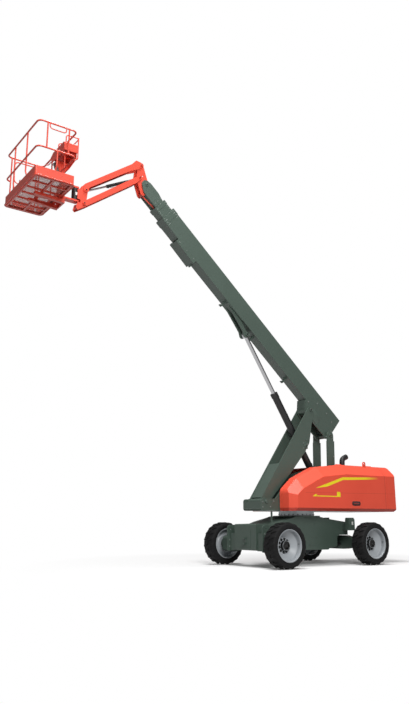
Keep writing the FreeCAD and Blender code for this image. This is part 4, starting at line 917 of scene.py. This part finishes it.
def make_nose_trim():
    covers = side_spots("head_pin", [(-4.270, 8.240)])
    pin_cover("head_pin_covers", "head_pin", covers, 0.036, SLOT_FINISH["green_paint"], 0.007)
    rows = [(6.15, 0.46), (6.15, 0.36), (6.15, 0.26)]
    bolts("nose_plate_bolts", "boom_tip", boom_side("boom_tip_section", rows), 0.020, 0.008, zinc)


# ---------------------------------------------------------------- jib
def make_jib_trim():
    orange = SLOT_FINISH["orange_paint"]
    dark = SLOT_FINISH["black_metal"]
    for name, node, body, places in (
            ("bracket_pin_heads", "jib_bracket", "jib_bracket", [(-4.416, 8.680), (-4.445, 8.371)]),
            ("yoke_pin_heads", "platform_yoke", "yoke", [(-5.718, 7.695), (-5.747, 7.386)])):
        spots = []
        for sign in (1, -1):
            for y, z in places:
                place, normal = spot(node, (sign * 0.5, y, z), (-sign, 0, 0))
                spots.append((Vector((place.x, y, z)), Vector((sign, 0, 0))))
        heads = [recessed_bar(place - normal * 0.003, place + normal * 0.007, 0.032, 0.009, 0.003, 24)
                 for place, normal in spots]
        gather(name, heads, body, orange)
        bolts(name + "_bolts", body, [(place + normal * 0.003, normal) for place, normal in spots], 0.024,
              0.008, dark)
    low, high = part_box("jib_barrel")
    barrel_start = Vector((0.0, high.y - 0.045, high.z - 0.055))
    barrel_end = Vector((0.0, low.y + 0.030, low.z + 0.030))
    along = (barrel_end - barrel_start).normalized()
    below = Vector((0, along.z, -along.y))
    if below.z > 0:
        below = -below
    length = (barrel_end - barrel_start).length
    line = pipe([barrel_start + along * 0.12 + below * 0.030, barrel_start + along * 0.12 + below * 0.040,
                 barrel_start + along * 0.16 + below * 0.042,
                 barrel_start + along * (length - 0.10) + below * 0.042,
                 barrel_start + along * (length - 0.05) + below * 0.040,
                 barrel_start + along * (length - 0.05) + below * 0.030], 0.005)
    gather("jib_cylinder_pipe", [line], "jib_barrel", SLOT_FINISH["rod_chrome"])
    band_start = barrel_start + along * (length - 0.04)
    band = bar(band_start, band_start + along * 0.03, 0.038, 24)
    gather("jib_cylinder_gland", [band], "jib_barrel", dark)
    low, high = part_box("rotator_body")
    x = (low.x + high.x) / 2
    y = (low.y + high.y) / 2
    rings = []
    for z in (low.z + 0.03, low.z + 0.085, high.z - 0.085, high.z - 0.03):
        rings.append(bar((x, y, z - 0.006), (x, y, z + 0.006), (high.x - low.x) / 2 + 0.004, 32, 0.002))
    gather("rotator_bands", rings, "yoke", dark)
    plate = block((high.x - 0.004, y - 0.020, 7.53), (high.x + 0.003, y + 0.020, 7.60), 0.0015, 1)
    gather("rotator_blank_plate", [plate], "yoke", white_label)


# ---------------------------------------------------------------- platform
def make_floor_mesh():
    """Expanded metal: a sheet of small diamonds with a flat rim round it."""
    low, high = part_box("platform_floor")
    middle = (low + high) / 2
    clear()
    bpy.ops.mesh.primitive_grid_add(x_subdivisions=46, y_subdivisions=24, size=1.0,
                                    location=(middle.x, middle.y, middle.z))
    mesh = bpy.context.object
    open_up(mesh)
    bpy.ops.transform.resize(value=(high.x - low.x - 0.03, high.y - low.y - 0.03, 1.0),
                             center_override=tuple(middle))
    bpy.ops.mesh.poke()
    pick(mesh, "edges", lambda edge: not edge.is_boundary and
         min(abs(edge.verts[0].co.x - edge.verts[1].co.x),
             abs(edge.verts[0].co.y - edge.verts[1].co.y)) < 1e-6)
    bpy.ops.mesh.dissolve_edges(use_verts=False)
    close_up(mesh)
    wires = mesh.modifiers.new("strands", "WIREFRAME")
    wires.thickness = 0.0085
    wires.use_even_offset = False
    clear()
    mesh.select_set(True)
    bpy.context.view_layer.objects.active = mesh
    bpy.ops.object.modifier_apply(modifier="strands")
    rim = window_frame((low.x, low.y, low.z), (high.x, high.y, high.z), 2, 0.020, 0.0008)
    gather("expanded_floor_mesh", [mesh, rim], "platform", SLOT_FINISH["floor_mesh"], 30.0)
    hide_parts("platform_floor")


def make_console_controls():
    """Joysticks, keys and the stop button on the control box, and a blank plate."""
    dark = SLOT_FINISH["black_metal"]
    knobs = []
    stems = []
    for x in (-0.130, -0.055):
        place, normal = spot("console_box", (x, -6.60, 8.170), (0, 1, 0))
        stem = bar(place - normal * 0.002, place + normal * 0.030, 0.006, 12)
        boot = bar(place - normal * 0.002, place + normal * 0.012, 0.016, 20, 0.005)
        grip = bar(place + normal * 0.026, place + normal * 0.058, 0.011, 16, 0.004)
        stems += [stem, boot, grip]
    gather("joysticks", stems, "platform", dark)
    place, normal = spot("console_box", (-0.010, -6.60, 8.175), (0, 1, 0))
    knobs.append(bar(place - normal * 0.002, place + normal * 0.018, 0.017, 24, 0.005))
    gather("stop_button", knobs, "platform", dark_red)
    keys = []
    for x in (-0.150, -0.125, -0.100, -0.075, -0.050, -0.025):
        place, normal = spot("console_box", (x, -6.60, 8.128), (0, 1, 0))
        keys.append(bar(place - normal * 0.002, place + normal * 0.010, 0.006, 12))
    gather("toggle_switches", keys, "platform", dark)
    sign_plate = block((0.10, -6.34, 8.4345), (0.40, -6.20, 8.4385), 0.001, 1)
    gather("console_blank_plate", [sign_plate], "platform", dark_red)


def make_basket_trim():
    """The screws that hold the toe boards."""
    screws = [spot("toe_boards", (1.4, y, 7.42), (-1, 0, 0)) for y in (-7.02, -6.86, -6.56, -6.40)]
    for x in (-0.70, -0.35, 0.0, 0.35, 0.70):
        place, normal = spot("toe_boards", (x, -8.0, 7.40), (0, 1, 0))
        screws.append((place, normal))
        place, normal = spot("toe_boards", (x, -5.4, 7.40), (0, -1, 0))
        screws.append((place, normal))
    bolts("toe_board_screws", "platform", screws, 0.014, 0.005, SLOT_FINISH["orange_paint"])


dress_frame()
make_tyres()
make_hubs()
make_valves()
make_chassis_trim()
make_hood_latches()
make_turntable_trim()
make_exhaust_trim()
make_arm_trim()
make_lift_cylinder_trim()
make_boom_trim()
make_nose_trim()
make_jib_trim()
make_floor_mesh()
make_console_controls()
make_basket_trim()
set_camera()
light_stage()
lay_floor()
bpy.context.scene.view_settings.view_transform = "Standard"

bpy.context.view_layer.update()
